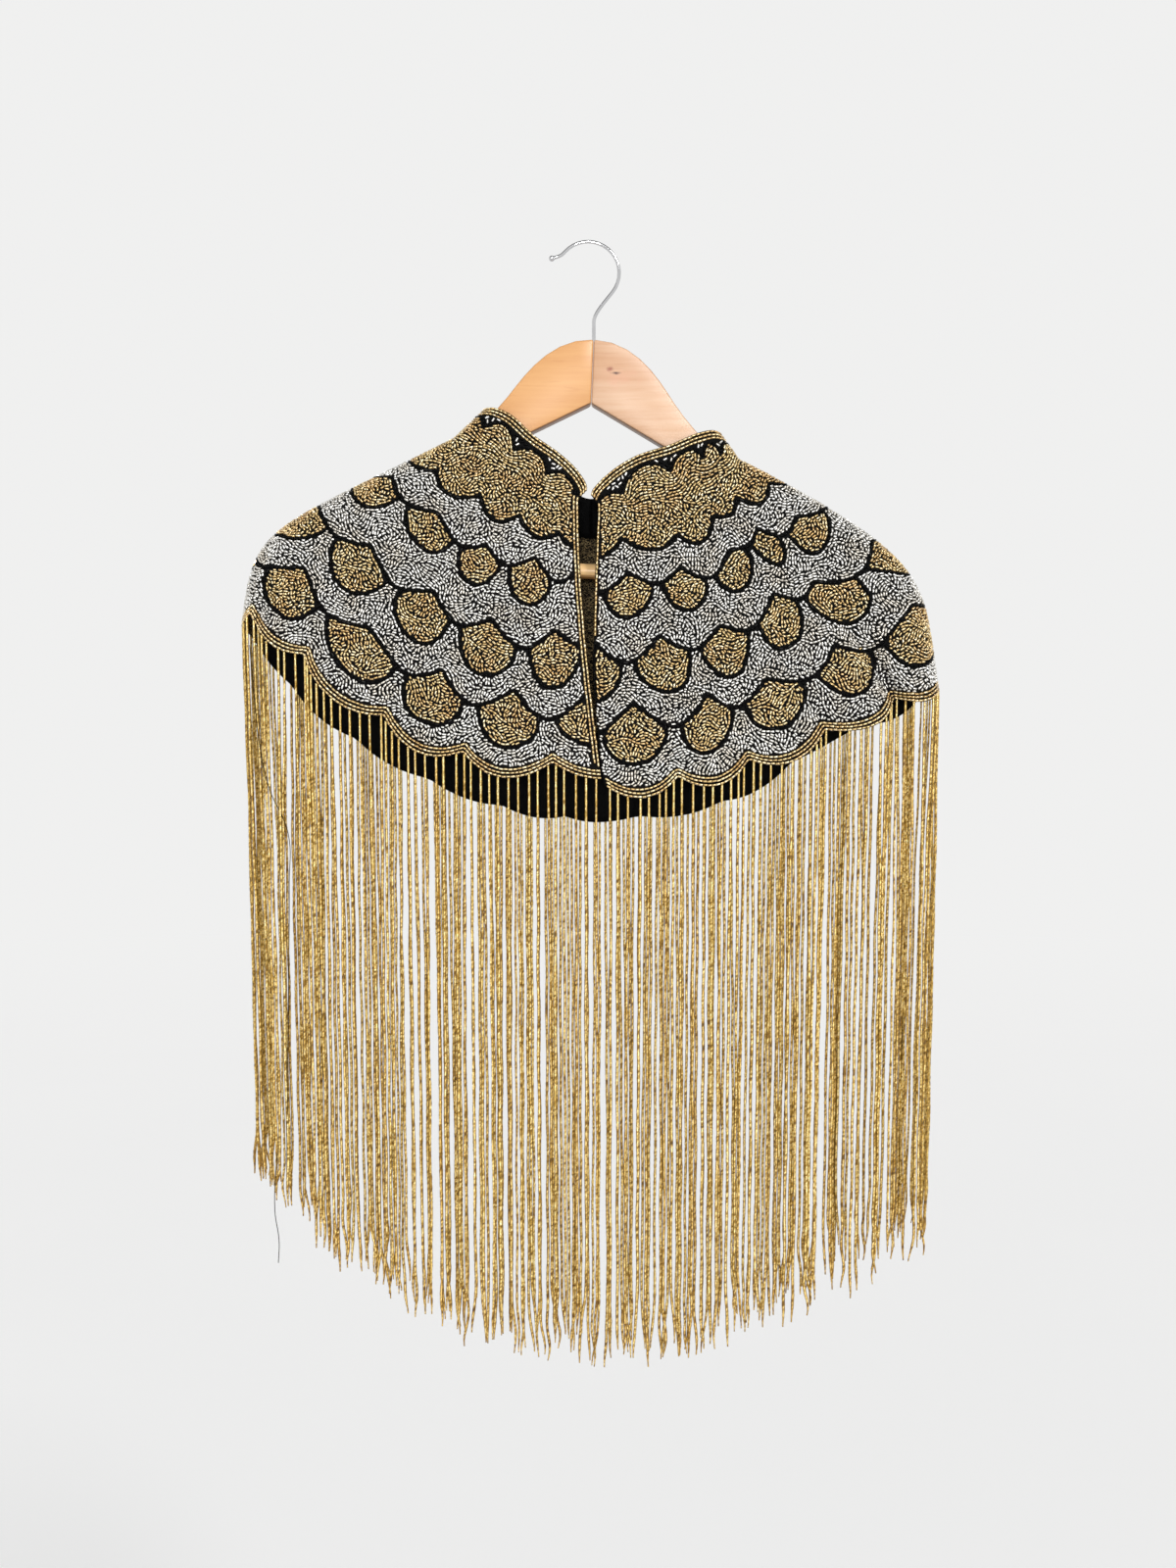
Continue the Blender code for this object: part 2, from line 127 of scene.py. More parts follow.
# Soft ridges (out above 0) and troughs of each quarter, which start this share of the way down:
# first the CAD's, then shallow ones of the cloth's own.
Fold = namedtuple("Fold", "around width out starts")
FOLDS = {
    "left_front": (
        Fold(0.20, 0.060, 3.0, 0.35), Fold(0.47, 0.050, -3.0, 0.40),
        Fold(0.70, 0.050, 3.0, 0.45), Fold(0.90, 0.022, -4.0, 0.60),
        Fold(0.08, 0.020, 1.0, 0.70), Fold(0.33, 0.025, -1.2, 0.60),
        Fold(0.58, 0.025, 1.0, 0.70), Fold(0.82, 0.020, 1.2, 0.50),
    ),
    "left_back": (
        Fold(0.28, 0.060, -3.0, 0.30), Fold(0.60, 0.050, 3.0, 0.45),
        Fold(0.12, 0.022, 1.2, 0.55), Fold(0.45, 0.025, -1.0, 0.65),
    ),
    "right_back": (
        Fold(0.25, 0.060, 3.0, 0.35), Fold(0.55, 0.050, -3.0, 0.40),
        Fold(0.10, 0.022, -1.0, 0.60), Fold(0.40, 0.025, 1.2, 0.50),
    ),
    "right_front": (
        Fold(0.32, 0.045, 6.0, 0.50), Fold(0.46, 0.045, -3.0, 0.50),
        Fold(0.64, 0.035, -5.0, 0.60), Fold(0.845, 0.030, -11.0, 0.45),
        Fold(0.12, 0.020, -1.2, 0.60), Fold(0.22, 0.022, 1.0, 0.70),
        Fold(0.55, 0.020, 1.6, 0.60), Fold(0.76, 0.020, 1.8, 0.55),
    ),
}

# The grid. A quarter has even columns up to where its side fold starts, and then columns by the
# angle that the cloth has turned.
EVEN_COLUMNS, FOLD_COLUMNS = 100, 14
FOLD_STARTS = 0.945
COLLAR_ROWS, BODY_ROWS = 12, 76


def unit(vectors):
    return vectors / np.linalg.norm(vectors, axis=-1, keepdims=True)


def smooth(share):
    share = np.clip(share, 0.0, 1.0)
    return share * share * (3.0 - 2.0 * share)


def lengths_along(points):
    steps = np.linalg.norm(np.diff(points, axis=0), axis=1)
    return np.concatenate([[0], np.cumsum(steps)])


def on_path(reached, along, points):
    """The points of a path at these lengths along it."""
    return np.stack([np.interp(reached, along, column) for column in points.T], axis=-1)


def tree_of(points):
    tree = KDTree(len(points))
    for number, point in enumerate(points):
        tree.insert(point, number)
    tree.balance()
    return tree


def read(rows, column, around):
    """One column of a table of rays at any place around, as a smooth curve through its rows."""
    places = np.array([row.around for row in rows])
    values = np.array([getattr(row, column) for row in rows], float)
    slopes = np.gradient(values, places)
    if rows[0] is CENTRE_BACK and not column.endswith("_x"):
        slopes[0] = 0.0
    first = int(np.clip(np.searchsorted(places, around, side="right") - 1, 0, len(rows) - 2))
    width = places[first + 1] - places[first]
    share = (around - places[first]) / width
    rest = 1.0 - share
    return (
        values[first] * (1 + 2 * share) * rest**2
        + slopes[first] * width * share * rest**2
        + values[first + 1] * (3 - 2 * share) * share**2
        - slopes[first + 1] * width * rest * share**2
    )


def turned(around, drop):
    """How far out the cloth is, as a share: 1 over the body, falling to 0 round the side fold."""
    turn = NECK_TURN + (HEM_TURN - NECK_TURN) * drop
    width = NECK_HALF_WIDTH + (HEM_HALF_WIDTH - NECK_HALF_WIDTH) * drop
    inside = np.clip((1.0 - around) * width / turn, 0.0, 1.0)
    return np.sqrt(1.0 - (1.0 - inside) ** 2)


def folds_at(name, around, drop):
    out = np.zeros_like(drop)
    for fold in FOLDS[name]:
        share = smooth((drop - fold.starts) / (1.0 - fold.starts))
        out += fold.out * share * math.exp(-(((around - fold.around) / fold.width) ** 2))
    return out


def scallop(quarter, around):
    """How far the hem hangs below the line through its notches."""
    count = around * quarter.scallops - quarter.first_centre
    return SCALLOP_DROP * (1.0 - (2.0 * (count - round(count))) ** 2)


def collar_height(name, around):
    """The collar's height as a share of a whole one: lower at the fronts' rounded corners."""
    if name.endswith("back"):
        return 1.0
    inside = min(around / CORNER_WIDTH, 1.0)
    return CORNER_HEIGHT + (1.0 - CORNER_HEIGHT) * math.sqrt(1.0 - (1.0 - inside) ** 2)


def ray_path(quarter, around):
    """The ray from the neck seam to the notches' line, in x and z, and the length along it."""
    neck, hem = (
        np.array([read(quarter.rays, column + axis, around) for axis in ("_x", "_z")])
        for column in ("neck", "hem")
    )
    leave, hang = (math.radians(read(quarter.rays, key, around)) for key in ("leave", "hang"))
    chord = np.linalg.norm(hem - neck)
    leaving = np.array([quarter.outwards * math.cos(leave), -math.sin(leave)])
    hanging = np.array([quarter.outwards * math.cos(hang), -math.sin(hang)])
    first_handle = neck + leaving * chord * (LEAVING_REACH + FOLD_EXTRA_REACH * around**FOLD_POWER)
    last_handle = hem - hanging * chord * HANGING_REACH
    corners = (Vector((*point, 0)) for point in (neck, first_handle, last_handle, hem))
    points = np.array([tuple(point)[:2] for point in interpolate_bezier(*corners, RAY_STEPS + 1)])
    return points, lengths_along(points), hanging


def column_of(name, around):
    """One column of the grid, down the collar and the body: its points, its place in the pattern
    (in scales round, and in level mm down), how far it is above the hem and below the collar's
    top, and how deep its scallop is."""
    quarter = QUARTERS[name]
    points, lengths, hanging = ray_path(quarter, around)
    up = (1.0 - np.arange(COLLAR_ROWS) / COLLAR_ROWS) * collar_height(name, around)
    x, z, out = (
        (1 - up) * read(quarter.rays, "neck_" + key, around)
        + up * read(quarter.rays, "top_" + key, around)
        for key in ("x", "z", "out")
    )
    collar = np.stack([x, quarter.facing * out * turned(around, 0.0), z], axis=1)
    neck = np.array([points[0, 0], 0.0, points[0, 1]])
    height = np.linalg.norm((collar - neck)[:, [0, 2]], axis=1)
    whole = lengths[-1] + scallop(quarter, around)
    along = whole * np.linspace(0.0, 1.0, BODY_ROWS + 1)
    drop = np.minimum(along / lengths[-1], 1.0)
    past = np.maximum(0.0, along - lengths[-1])
    neck_out, hem_out = (read(quarter.rays, key, around) for key in ("neck_out", "hem_out"))
    out = neck_out + (hem_out - neck_out) * smooth(drop) + folds_at(name, around, drop)
    x, z = (np.interp(along, lengths, points[:, axis]) + past * hanging[axis] for axis in range(2))
    body = np.stack([x, quarter.facing * out * turned(around, drop), z], axis=1)
    level = np.concatenate([-height, BODY_LEVELS * along / lengths[-1]])
    share = np.concatenate([np.zeros(COLLAR_ROWS), drop])
    scales = around * (quarter.neck_scales + quarter.more_scales * share)
    if name.startswith("right"):
        crowding = smooth((around - CROWDED_FROM) / (1.0 - CROWDED_FROM))
        crowding *= CROWDED_SCALES * (1.0 - smooth((share - CROWDED_DOWN_TO) / CROWDED_FADE))
        scales -= quarter.facing * crowding
    above_hem = np.concatenate([height + whole, whole - along])
    below_top = np.concatenate([height[0] - height, height[0] + along])
    return np.concatenate([collar, body]), scales, level, above_hem, below_top, whole - lengths[-1]


def places_around():
    """Places around a quarter: evenly, and then closer round the side fold, where it turns."""
    even = np.linspace(0.0, FOLD_STARTS, EVEN_COLUMNS, endpoint=False)
    angles = np.linspace(math.pi / 2, 0.0, FOLD_COLUMNS + 1)
    return np.concatenate([even, 1.0 - (1.0 - FOLD_STARTS) * (1.0 - np.cos(angles))])


# ---- the scale pattern

# Levels are counted in mm down a body 200 mm long. The gold yoke ends in lobes. Then each row of
# silver scales ends at silver_low, rising by cusp over each gold one, which ends at gold_low.
BODY_LEVELS = 200.0
YOKE_LOW, YOKE_RISE = 37.0, 11.0
ScaleRow = namedtuple("ScaleRow", "silver_low gold_low cusp shift")
SCALE_ROWS = (
    ScaleRow(64.0, 84.0, 12.0, 0.0),
    ScaleRow(115.0, 140.0, 16.0, 0.5),
    ScaleRow(163.0, 187.0, 18.0, 0.0),
)
CUSP_POWER = 1.5
GOLD_HALF_WIDTH, GOLD_SQUARENESS, GOLD_ROUNDNESS = 0.42, 2.3, 0.72
COLLAR_LOBES, LOBE_BELOW_TOP, LOBE_RISE, LOBE_POWER = 1.15, 8.8, 9.5, 2.4
# Cusps are lower by this share further round. Outlines with no more places than this are left out,
# gold ones sooner, and a gold scale is outlined where it is this many rows below the silver.
FLATTENED, FLATTER_FROM, FLATTER_OVER = 0.25, 0.35, 0.25
SHORTEST_PATH, SMALLEST_GOLD, LOWEST_GOLD = 3, 16, 0.3
# Extra scales crowded next to the right fold, high up.
CROWDED_SCALES, CROWDED_FROM, CROWDED_DOWN_TO, CROWDED_FADE = 0.90, 0.64, 0.4, 0.45
# Up to and from these scales round, on the left front and the right back, the first row has no gold
# down to this far below it.
PLAIN_UP_TO, PLAIN_FROM, PLAIN_BELOW = 0.5, 4.5, 10.0
# The pattern is higher on the right front's shoulder, and lower on most of the left front, in mm.
SHOULDER_LIFT, SHOULDER, SHOULDER_WIDTH = 9.0, 0.74, 0.13
SHOULDER_ENDS, SHOULDER_FADE = 125.0, 40.0
LEFT_LOWER, LOWER_FROM, LOWER_TO, LOWER_FADE = 4.0, 0.1, 0.8, 0.2
# Slow waves that bend it: their size in scales or mm, their length in mm, and their seed. Each is
# a sum of this many sines, quicker and slower by these rates, brought to a height of about 1.
SCALE_WAVE, YOKE_WAVE, LEVEL_WAVE = (0.07, 70.0, 1), (0.06, 60.0, 2), (2.2, 55.0, 3)
WAVES, WAVE_RATES, WAVE_HEIGHT = 4, (0.7, 1.4), 2.6

# Beads, in mm: length, width and height over the cloth, the gap between two in a row, the pitch of
# rows, how close two beads may come, and the spots, as shares of a bead's length, that this is
# measured from.
BUGLE = (3.05, 1.76, 1.25)
LENGTH_SPREAD, BEAD_GAP, ROW_PITCH = 0.30, 0.22, 2.02
CLOSEST, CLOSEST_IN_GAPS, CLOSEST_IN_STRINGS = 1.60, 1.38, 0.6 * ROW_PITCH
SPOTS = (0.17, 0.5, 0.83)
SILVER, GOLD, BLACK = 0, 1, 2
# How far the scales' beads keep from an outline's middle, and their middles and ends from its side.
OUTLINE_HALF, MARGIN = 1.25, 0.66
END_MARGIN, SEED_REACH = MARGIN * 0.55, OUTLINE_HALF + MARGIN + 0.1
# The edging's rows. The right front keeps its row down to this level only.
EDGE_ROW_PITCH, EDGE_START, EDGE_ROWS = 2.55, 0.40, 3
EDGING = EDGE_ROWS * EDGE_ROW_PITCH
LEFT_EDGE_ROWS, RIGHT_EDGE_ROWS, RIGHT_EDGING_ENDS = 2, 1, 95.0
# Rows that wander: their beads, how sharply they bend, how far apart on the grid their seeds are,
# and the waves that turn them, in radians, which are calmer near outlines and on the collar.
SHORTEST_ROW, LONGEST_ROW = 3, 10
SHARPEST_TURN = math.cos(math.radians(42))
SEED_COLUMNS, SEED_ROWS = 5, 4
WANDER_WAVES = ((1.8, 22.0, 5), (0.4, 10.0, 6))
CALM, CALM_FROM, CALM_OVER, CALM_ON_COLLAR, COLLAR_ENDS = 0.10, 1.5, 2.6, 0.35, 4.0
# Their ways all run round the body, leaning down this much, and are evened out this many times.
# An outline is looked for among this many guide points, and is otherwise taken as this far away.
LEAN, WAY_PASSES, NEARBY, FAR_AWAY = 0.2, 3, 24, 9.0
# The grid step at which gaps are looked for, and the lengths and turns that are tried in them.
GAP_STEP = 0.3
GAP_TRIES = [
    (length, math.radians(turn)) for length in (2.2, 1.5) for turn in (0, 35, -35, 65, -65, 90)
]
# Beads between the collar's lobes and its edging: how far apart they are tried on the grid, how
# often, how far from the edging, and above which height of a wave they are silver.
SCATTER_STEPS, SCATTERED, SCATTER_MARGIN = (1.1, 0.5), 0.75, 0.7
SCATTER_WAVE, SILVER_ABOVE = (1.0, 24.0, 8), -0.7
# What is read at a place on the grid: its point, its normal, the steps along and aside that make
# one mm, and how far it is clear of outlines and edging.
POINT, NORMAL, ALONG, ASIDE, CLEAR = slice(0, 3), slice(3, 6), slice(6, 8), slice(8, 10), 10


def wave(points, size, length, seed):
    """Smooth noise of about this size that changes over about this length, the same each run."""
    turns = np.random.default_rng(seed)
    total = 0.0
    for _ in range(WAVES):
        way = turns.normal(size=3)
        way *= 2 * math.pi / length / np.linalg.norm(way) * turns.uniform(*WAVE_RATES)
        total = total + np.sin(points @ way + turns.uniform(0, 2 * math.pi))
    return size * (total / WAVE_HEIGHT)


def off_centres(scales):
    """How far from the nearest whole number, from 0 to 0.5."""
    return np.abs(scales - np.round(scales))


def silver_edge(row, cloth):
    """The silver scales' lower edge, which rises to a point over each gold scale."""
    rise = 1.0 - 2.0 * off_centres(cloth.scales - row.shift)
    return row.silver_low - row.cusp * (1.0 - FLATTENED * cloth.flatness) * rise**CUSP_POWER


def gold_edge(row, cloth):
    """The gold scales' lower edge, and 0 where there is none."""
    out = off_centres(cloth.scales - row.shift) / GOLD_HALF_WIDTH
    below = np.clip(1.0 - out**GOLD_SQUARENESS, 0.0, 1.0) ** GOLD_ROUNDNESS
    edge = row.silver_low + (row.gold_low - row.silver_low) * below
    return np.where((out < 1.0) & ~cloth.silver_only, edge, 0.0)


def yoke_edge(cloth):
    return YOKE_LOW - YOKE_RISE * (2 * off_centres(cloth.yoke_scales)) ** 2


def lobe_edge(cloth):
    rise = LOBE_RISE * (2 * off_centres(cloth.lobes)) ** LOBE_POWER
    return cloth.level[:, :1] + LOBE_BELOW_TOP + rise


class Cloth:
    """The surface as a grid of columns by rows, with everything that is read off it."""

    def __init__(self):
        columns, names, self.starts, around = [], [], {}, []
        for name, quarter in QUARTERS.items():
            places = places_around()[:: 1 if quarter.forwards else -1]
            self.starts[name] = max(len(columns) - 1, 0)
            for place in places[1 if columns else 0 :]:
                columns.append(column_of(name, place))
                names.append(name)
                around.append(place)
        self.last = len(columns) - 1
        self.points, raw, self.level, self.above_hem, self.below_top, self.scallops = map(
            np.array, zip(*columns)
        )
        self.across, self.down = np.gradient(self.points, axis=0), np.gradient(self.points, axis=1)
        self.normals = unit(np.cross(self.across, self.down))
        first_gold, first_lobe = (
            np.array([getattr(QUARTERS[name], column) for name in names])[:, None]
            for column in ("first_gold", "first_lobe")
        )
        names, around = np.array(names)[:, None], np.array(around)[:, None]
        self.flatness = smooth((around - FLATTER_FROM) / FLATTER_OVER)
        self.scales = raw + wave(self.points, *SCALE_WAVE) - first_gold
        plain = (names == "left_front") & (raw < PLAIN_UP_TO)
        plain |= (names == "right_back") & (raw > PLAIN_FROM)
        self.silver_only = plain & (self.level < SCALE_ROWS[0].gold_low + PLAIN_BELOW)
        self.yoke_scales = raw + wave(self.points, *YOKE_WAVE) + self.yoke_drift()
        self.bent_level = self.level + wave(self.points, *LEVEL_WAVE) + self.lifts(names, around)
        self.lobes = (raw - first_lobe) / COLLAR_LOBES
        self.beside_front = self.distance_from_fronts()

    def lifts(self, names, around):
        """How much higher the pattern is, in mm, than its table says."""
        shoulder = np.exp(-(((around - SHOULDER) / SHOULDER_WIDTH) ** 2))
        shoulder = shoulder * (1.0 - smooth((self.level - SHOULDER_ENDS) / SHOULDER_FADE))
        lower = smooth(around / LOWER_FROM) * (1.0 - smooth((around - LOWER_TO) / LOWER_FADE))
        lift = (names == "right_front") * SHOULDER_LIFT * shoulder
        return lift - (names == "left_front") * LEFT_LOWER * lower

    def yoke_drift(self):
        """The right back's lobes drift by half a lobe, to meet both the front's and the left's."""
        first, last = self.starts["right_back"], self.starts["right_front"]
        drift = np.zeros((self.last + 1, 1))
        drift[first : last + 1, 0] = np.linspace(0, 0.5, last - first + 1)
        return drift

    def distance_from_fronts(self):
        steps = np.linalg.norm(np.diff(self.points, axis=0), axis=2)
        from_left = np.concatenate([np.zeros((1, steps.shape[1])), np.cumsum(steps, axis=0)])
        return np.minimum(from_left, from_left[-1] - from_left)

    def at(self, channel, i, j):
        """A channel between grid points."""
        i0, j0 = min(int(i), channel.shape[0] - 2), min(int(j), channel.shape[1] - 2)
        fi, fj = i - i0, j - j0
        low = channel[i0, j0] * (1 - fj) + channel[i0, j0 + 1] * fj
        high = channel[i0 + 1, j0] * (1 - fj) + channel[i0 + 1, j0 + 1] * fj
        return low * (1 - fi) + high * fi

    def points_at(self, places):
        return np.array([self.at(self.points, *place) for place in places])


def outline_of(beyond):
    """The place in each column where the pattern passes an edge for the last time, or None."""
    places = []
    for values in beyond:
        before = np.flatnonzero(values <= 0)
        if not len(before) or before[-1] + 1 >= len(values):
            places.append(None)
            continue
        row = before[-1]
        places.append(row + values[row] / (values[row] - values[row + 1]))
    return places


def unbroken(places, joins=None):
    """Paths of (column, row) places through columns that have one, ended where they join others."""
    paths, path = [], []
    for column, place in enumerate([*places, None]):
        if place is not None:
            if not path and joins is not None:
                path.append((float(column), float(joins[column])))
            path.append((float(column), float(place)))
        elif path:
            if joins is not None:
                path.append((column - 1.0, float(joins[column - 1])))
            paths.append(path)
            path = []
    return [rounded(path) for path in paths if len(path) > SHORTEST_PATH]


def rounded(path, step=0.5):
    """The path in even steps, with its sharp corners taken off."""
    places = np.array(path)
    along = lengths_along(places)
    places = on_path(np.linspace(0, along[-1], max(int(along[-1] / step), 4)), along, places)
    places[1:-1] = (places[:-2] + 2 * places[1:-1] + places[2:]) / 4
    return places


def outline_paths(cloth):
    """The black outlines of the yoke, of the collar's lobes and of each row of scales."""
    paths = unbroken(outline_of(cloth.bent_level - yoke_edge(cloth)))
    paths += unbroken(outline_of(cloth.level - lobe_edge(cloth)))
    for row in SCALE_ROWS:
        silver, gold = (
            outline_of(cloth.bent_level - edge(row, cloth)) for edge in (silver_edge, gold_edge)
        )
        below = [
            low if None not in (low, high) and low > high + LOWEST_GOLD else None
            for low, high in zip(gold, silver)
        ]
        paths += unbroken(silver)
        paths += [path for path in unbroken(below, silver) if len(path) > SMALLEST_GOLD]
    return paths


def edge_paths(cloth):
    """The rows of gold beads along the hem, down both fronts and along the collar's top."""
    rows, half = np.arange(cloth.points.shape[1]), cloth.last // 2
    paths = []
    for number in range(EDGE_ROWS):
        inside = (number + EDGE_START) * EDGE_ROW_PITCH
        hem, top, left, right = [], [], [], []
        for column in range(cloth.last + 1):
            hem.append((column, np.interp(-inside, -cloth.above_hem[column], rows)))
            top.append((column, np.interp(inside, cloth.below_top[column], rows)))
        for row in rows:
            if min(cloth.below_top[0, row], cloth.above_hem[0, row]) <= EDGING:
                continue
            if number < LEFT_EDGE_ROWS:
                from_left = cloth.beside_front[:half, row]
                left.append((np.interp(inside, from_left, np.arange(half)), row))
            if number < RIGHT_EDGE_ROWS and cloth.level[-1, row] < RIGHT_EDGING_ENDS:
                from_right = cloth.beside_front[:half:-1, row]
                right.append((cloth.last - np.interp(inside, from_right, np.arange(len(from_right))), row))
        paths += [hem, top, left, right]
    return [path for path in paths if path]


def steering(cloth, outlines):
    """What the wandering rows need at each grid point: the channels that POINT to CLEAR name."""
    guides = [cloth.points_at(path) for path in outlines] + [cloth.points[:, COLLAR_ROWS]]
    guide_ways = np.concatenate([unit(np.gradient(points, axis=0)) for points in guides])
    guide_points = np.concatenate(guides)
    outlined = len(guide_points) - len(guides[-1])
    tree = tree_of(guide_points)
    distance, way = np.zeros(cloth.level.shape), np.zeros(cloth.points.shape)
    for place in np.ndindex(distance.shape):
        _, number, distance[place] = tree.find(cloth.points[place])
        way[place] = guide_ways[number]
        if number >= outlined:
            found = tree.find_n(cloth.points[place], NEARBY)
            near = [gap for _, other, gap in found if other < outlined]
            distance[place] = near[0] if near else FAR_AWAY
    way *= np.sign(np.sum(way * (cloth.across + LEAN * cloth.down), axis=2, keepdims=True))
    for _ in range(WAY_PASSES):
        way[1:-1, 1:-1] += way[:-2, 1:-1] + way[2:, 1:-1] + way[1:-1, :-2] + way[1:-1, 2:]
        way = unit(way)
    slow, quick = (wave(cloth.points, *one) for one in WANDER_WAVES)
    calm = CALM + (1.0 - CALM) * smooth((distance - CALM_FROM) / CALM_OVER)
    calm *= np.where(cloth.level < COLLAR_ENDS, CALM_ON_COLLAR, 1.0)
    turn = ((slow + quick) * calm)[..., None]
    along = way * np.cos(turn) + np.cross(cloth.normals, way) * np.sin(turn)
    jacobian = np.stack([cloth.across, cloth.down], axis=3)
    square = np.einsum("ijka,ijkb->ijab", jacobian, jacobian) + 1e-9 * np.eye(2)
    inverse = np.einsum("ijab,ijkb->ijak", np.linalg.inv(square), jacobian)
    ways = (along, np.cross(cloth.normals, along))
    steps = [np.einsum("ijak,ijk->ija", inverse, one) for one in ways]
    in_left = np.arange(cloth.last + 1)[:, None] < (cloth.last + 1) // 2
    on_right = np.where(cloth.level < RIGHT_EDGING_ENDS, RIGHT_EDGE_ROWS, 0)
    front_edging = EDGE_ROW_PITCH * np.where(in_left, LEFT_EDGE_ROWS, on_right)
    clear = np.minimum(distance - OUTLINE_HALF, cloth.above_hem - EDGING)
    clear = np.minimum(clear, cloth.below_top - EDGING)
    clear = np.minimum(clear, cloth.beside_front - front_edging)
    return np.concatenate([cloth.points, cloth.normals, *steps, clear[..., None]], axis=2)


def kinds_of(cloth):
    """Silver or gold at each grid point, or black for the ground above the collar's lobes."""
    kinds = np.full(cloth.level.shape, SILVER)
    for row in SCALE_ROWS:
        under_silver = cloth.bent_level > silver_edge(row, cloth)
        kinds[under_silver & (cloth.bent_level < gold_edge(row, cloth))] = GOLD
    kinds[cloth.bent_level < yoke_edge(cloth)] = GOLD
    kinds[cloth.level < lobe_edge(cloth)] = BLACK
    return kinds


Bead = namedtuple("Bead", "start end normal place kind")


class Beading:
    """The beads, and a map of what is taken: strings along the edges and outlines first, then
    short rows that grow in the scales from seeds beside beads, and then single beads."""

    CELL = 2.0

    def __init__(self, cloth):
        self.cloth, self.beads, self.taken, self.lines = cloth, [], {}, 0
        for path in edge_paths(cloth):
            self.string(path, GOLD)
        outlines = outline_paths(cloth)
        for path in outlines:
            self.string(path, BLACK)
        self.channels, self.kinds = steering(cloth, outlines), kinds_of(cloth)
        self.columns, self.rows = self.kinds.shape
        self.fill()
        self.close_gaps()
        self.scatter()

    def new_line(self):
        self.lines += 1
        return self.lines

    def new_length(self):
        return BUGLE[0] + RNG.uniform(-LENGTH_SPREAD, LENGTH_SPREAD)

    def spots_of(self, ends):
        return [ends[0] * (1 - share) + ends[1] * share for share in SPOTS]

    def is_free(self, spots, line, order, closest):
        """Whether all these spots are this far from every bead but the neighbours in a row."""
        limit = closest**2
        for x, y, z in spots:
            cell_x, cell_z = int(x // self.CELL), int(z // self.CELL)
            for i in (cell_x - 1, cell_x, cell_x + 1):
                for k in (cell_z - 1, cell_z, cell_z + 1):
                    for px, py, pz, other, number in self.taken.get((i, k), ()):
                        if other == line and abs(number - order) < 2:
                            continue
                        if (px - x) ** 2 + (py - y) ** 2 + (pz - z) ** 2 < limit:
                            return False
        return True

    def put(self, ends, normal, place, kind, line, order=0):
        for spot in self.spots_of(ends):
            cell = (int(spot[0] // self.CELL), int(spot[2] // self.CELL))
            self.taken.setdefault(cell, []).append((*spot, line, order))
        self.beads.append(Bead(*ends, normal, place, kind))

    def string(self, path, kind):
        """Beads end to end along a path of (column, row) places."""
        places = np.array(path, float)
        points = self.cloth.points_at(places)
        along = lengths_along(points)
        line, order, reached = self.new_line(), 0, BEAD_GAP
        while True:
            length = self.new_length()
            if reached + length > along[-1]:
                return
            ends = on_path(np.array([reached, reached + length]), along, points)
            place = on_path(reached + length / 2, along, places)
            if self.is_free([(ends[0] + ends[1]) / 2], line, order, CLOSEST_IN_STRINGS):
                self.put(ends, self.cloth.at(self.cloth.normals, *place), place, kind, line, order)
            reached += length + BEAD_GAP
            order += 1

    def inside(self, place):
        return 0.0 <= place[0] <= self.columns - 1 and 0.0 <= place[1] <= self.rows - 1

    def kind_at(self, place):
        return self.kinds[int(place[0] + 0.5), int(place[1] + 0.5)]

    def read(self, place):
        return self.cloth.at(self.channels, *place)

    def moved(self, place, here, along, aside=0.0):
        """The place this many mm along and aside from here."""
        step = here[ALONG] * along + here[ASIDE] * aside
        return (place[0] + step[0], place[1] + step[1])

    def fits(self, place, way, length, kind, line, order):
        """The ends, the steering and the far end's place of a bead centred here, or None."""
        if not self.inside(place) or self.kind_at(place) != kind:
            return None
        here = self.read(place)
        if here[CLEAR] < MARGIN or not self.is_free([here[POINT]], line, order, CLOSEST):
            return None
        first, last = (self.moved(place, here, reach * length / 2) for reach in (-way, way))
        if not (self.inside(first) and self.inside(last)):
            return None
        start, end = self.read(first), self.read(last)
        ends = (start[POINT], end[POINT])
        if min(start[CLEAR], end[CLEAR]) < END_MARGIN:
            return None
        if self.is_free(self.spots_of(ends), line, order, CLOSEST):
            return ends, here, last
        return None

    def grow(self, seed, kind):
        """One row, first forwards and then backwards from its seed, and the seeds beside it."""
        line, seeds, first_length = self.new_line(), [], 0.0
        left = int(RNG.integers(SHORTEST_ROW, LONGEST_ROW))
        for way in (1, -1):
            place, heading, order = seed, None, 0 if way > 0 else -1
            while left > 0:
                length = self.new_length()
                centre = place
                if order:
                    if not self.inside(place):
                        break
                    passed = first_length / 2 if order == -1 else 0.0
                    ahead = way * (passed + BEAD_GAP + length / 2)
                    centre = self.moved(place, self.read(place), ahead)
                found = self.fits(centre, way, length, kind, line, order)
                if found is None:
                    break
                ends, here, last = found
                towards = (ends[1] - ends[0]) / np.linalg.norm(ends[1] - ends[0])
                if heading is not None and towards @ heading < SHARPEST_TURN:
                    break
                if order == 0:
                    first_length = length
                self.put(ends, here[NORMAL], centre, kind, line, order)
                seeds += [self.moved(centre, here, 0.0, side) for side in (-ROW_PITCH, ROW_PITCH)]
                place, heading = last, towards
                order += way
                left -= 1
            if not seeds:
                break
        return seeds

    def fill(self):
        seeds = []
        for bead in self.beads:
            here = self.read(bead.place)
            seeds += [self.moved(bead.place, here, 0.0, side) for side in (-SEED_REACH, SEED_REACH)]
        grid = [
            (float(i), float(j))
            for i in range(4, self.columns - 4, SEED_COLUMNS)
            for j in range(2, self.rows - 2, SEED_ROWS)
        ]
        RNG.shuffle(grid)
        seeds += grid
        for seed in seeds:
            if self.inside(seed) and self.kind_at(seed) != BLACK:
                seeds += self.grow(seed, self.kind_at(seed))

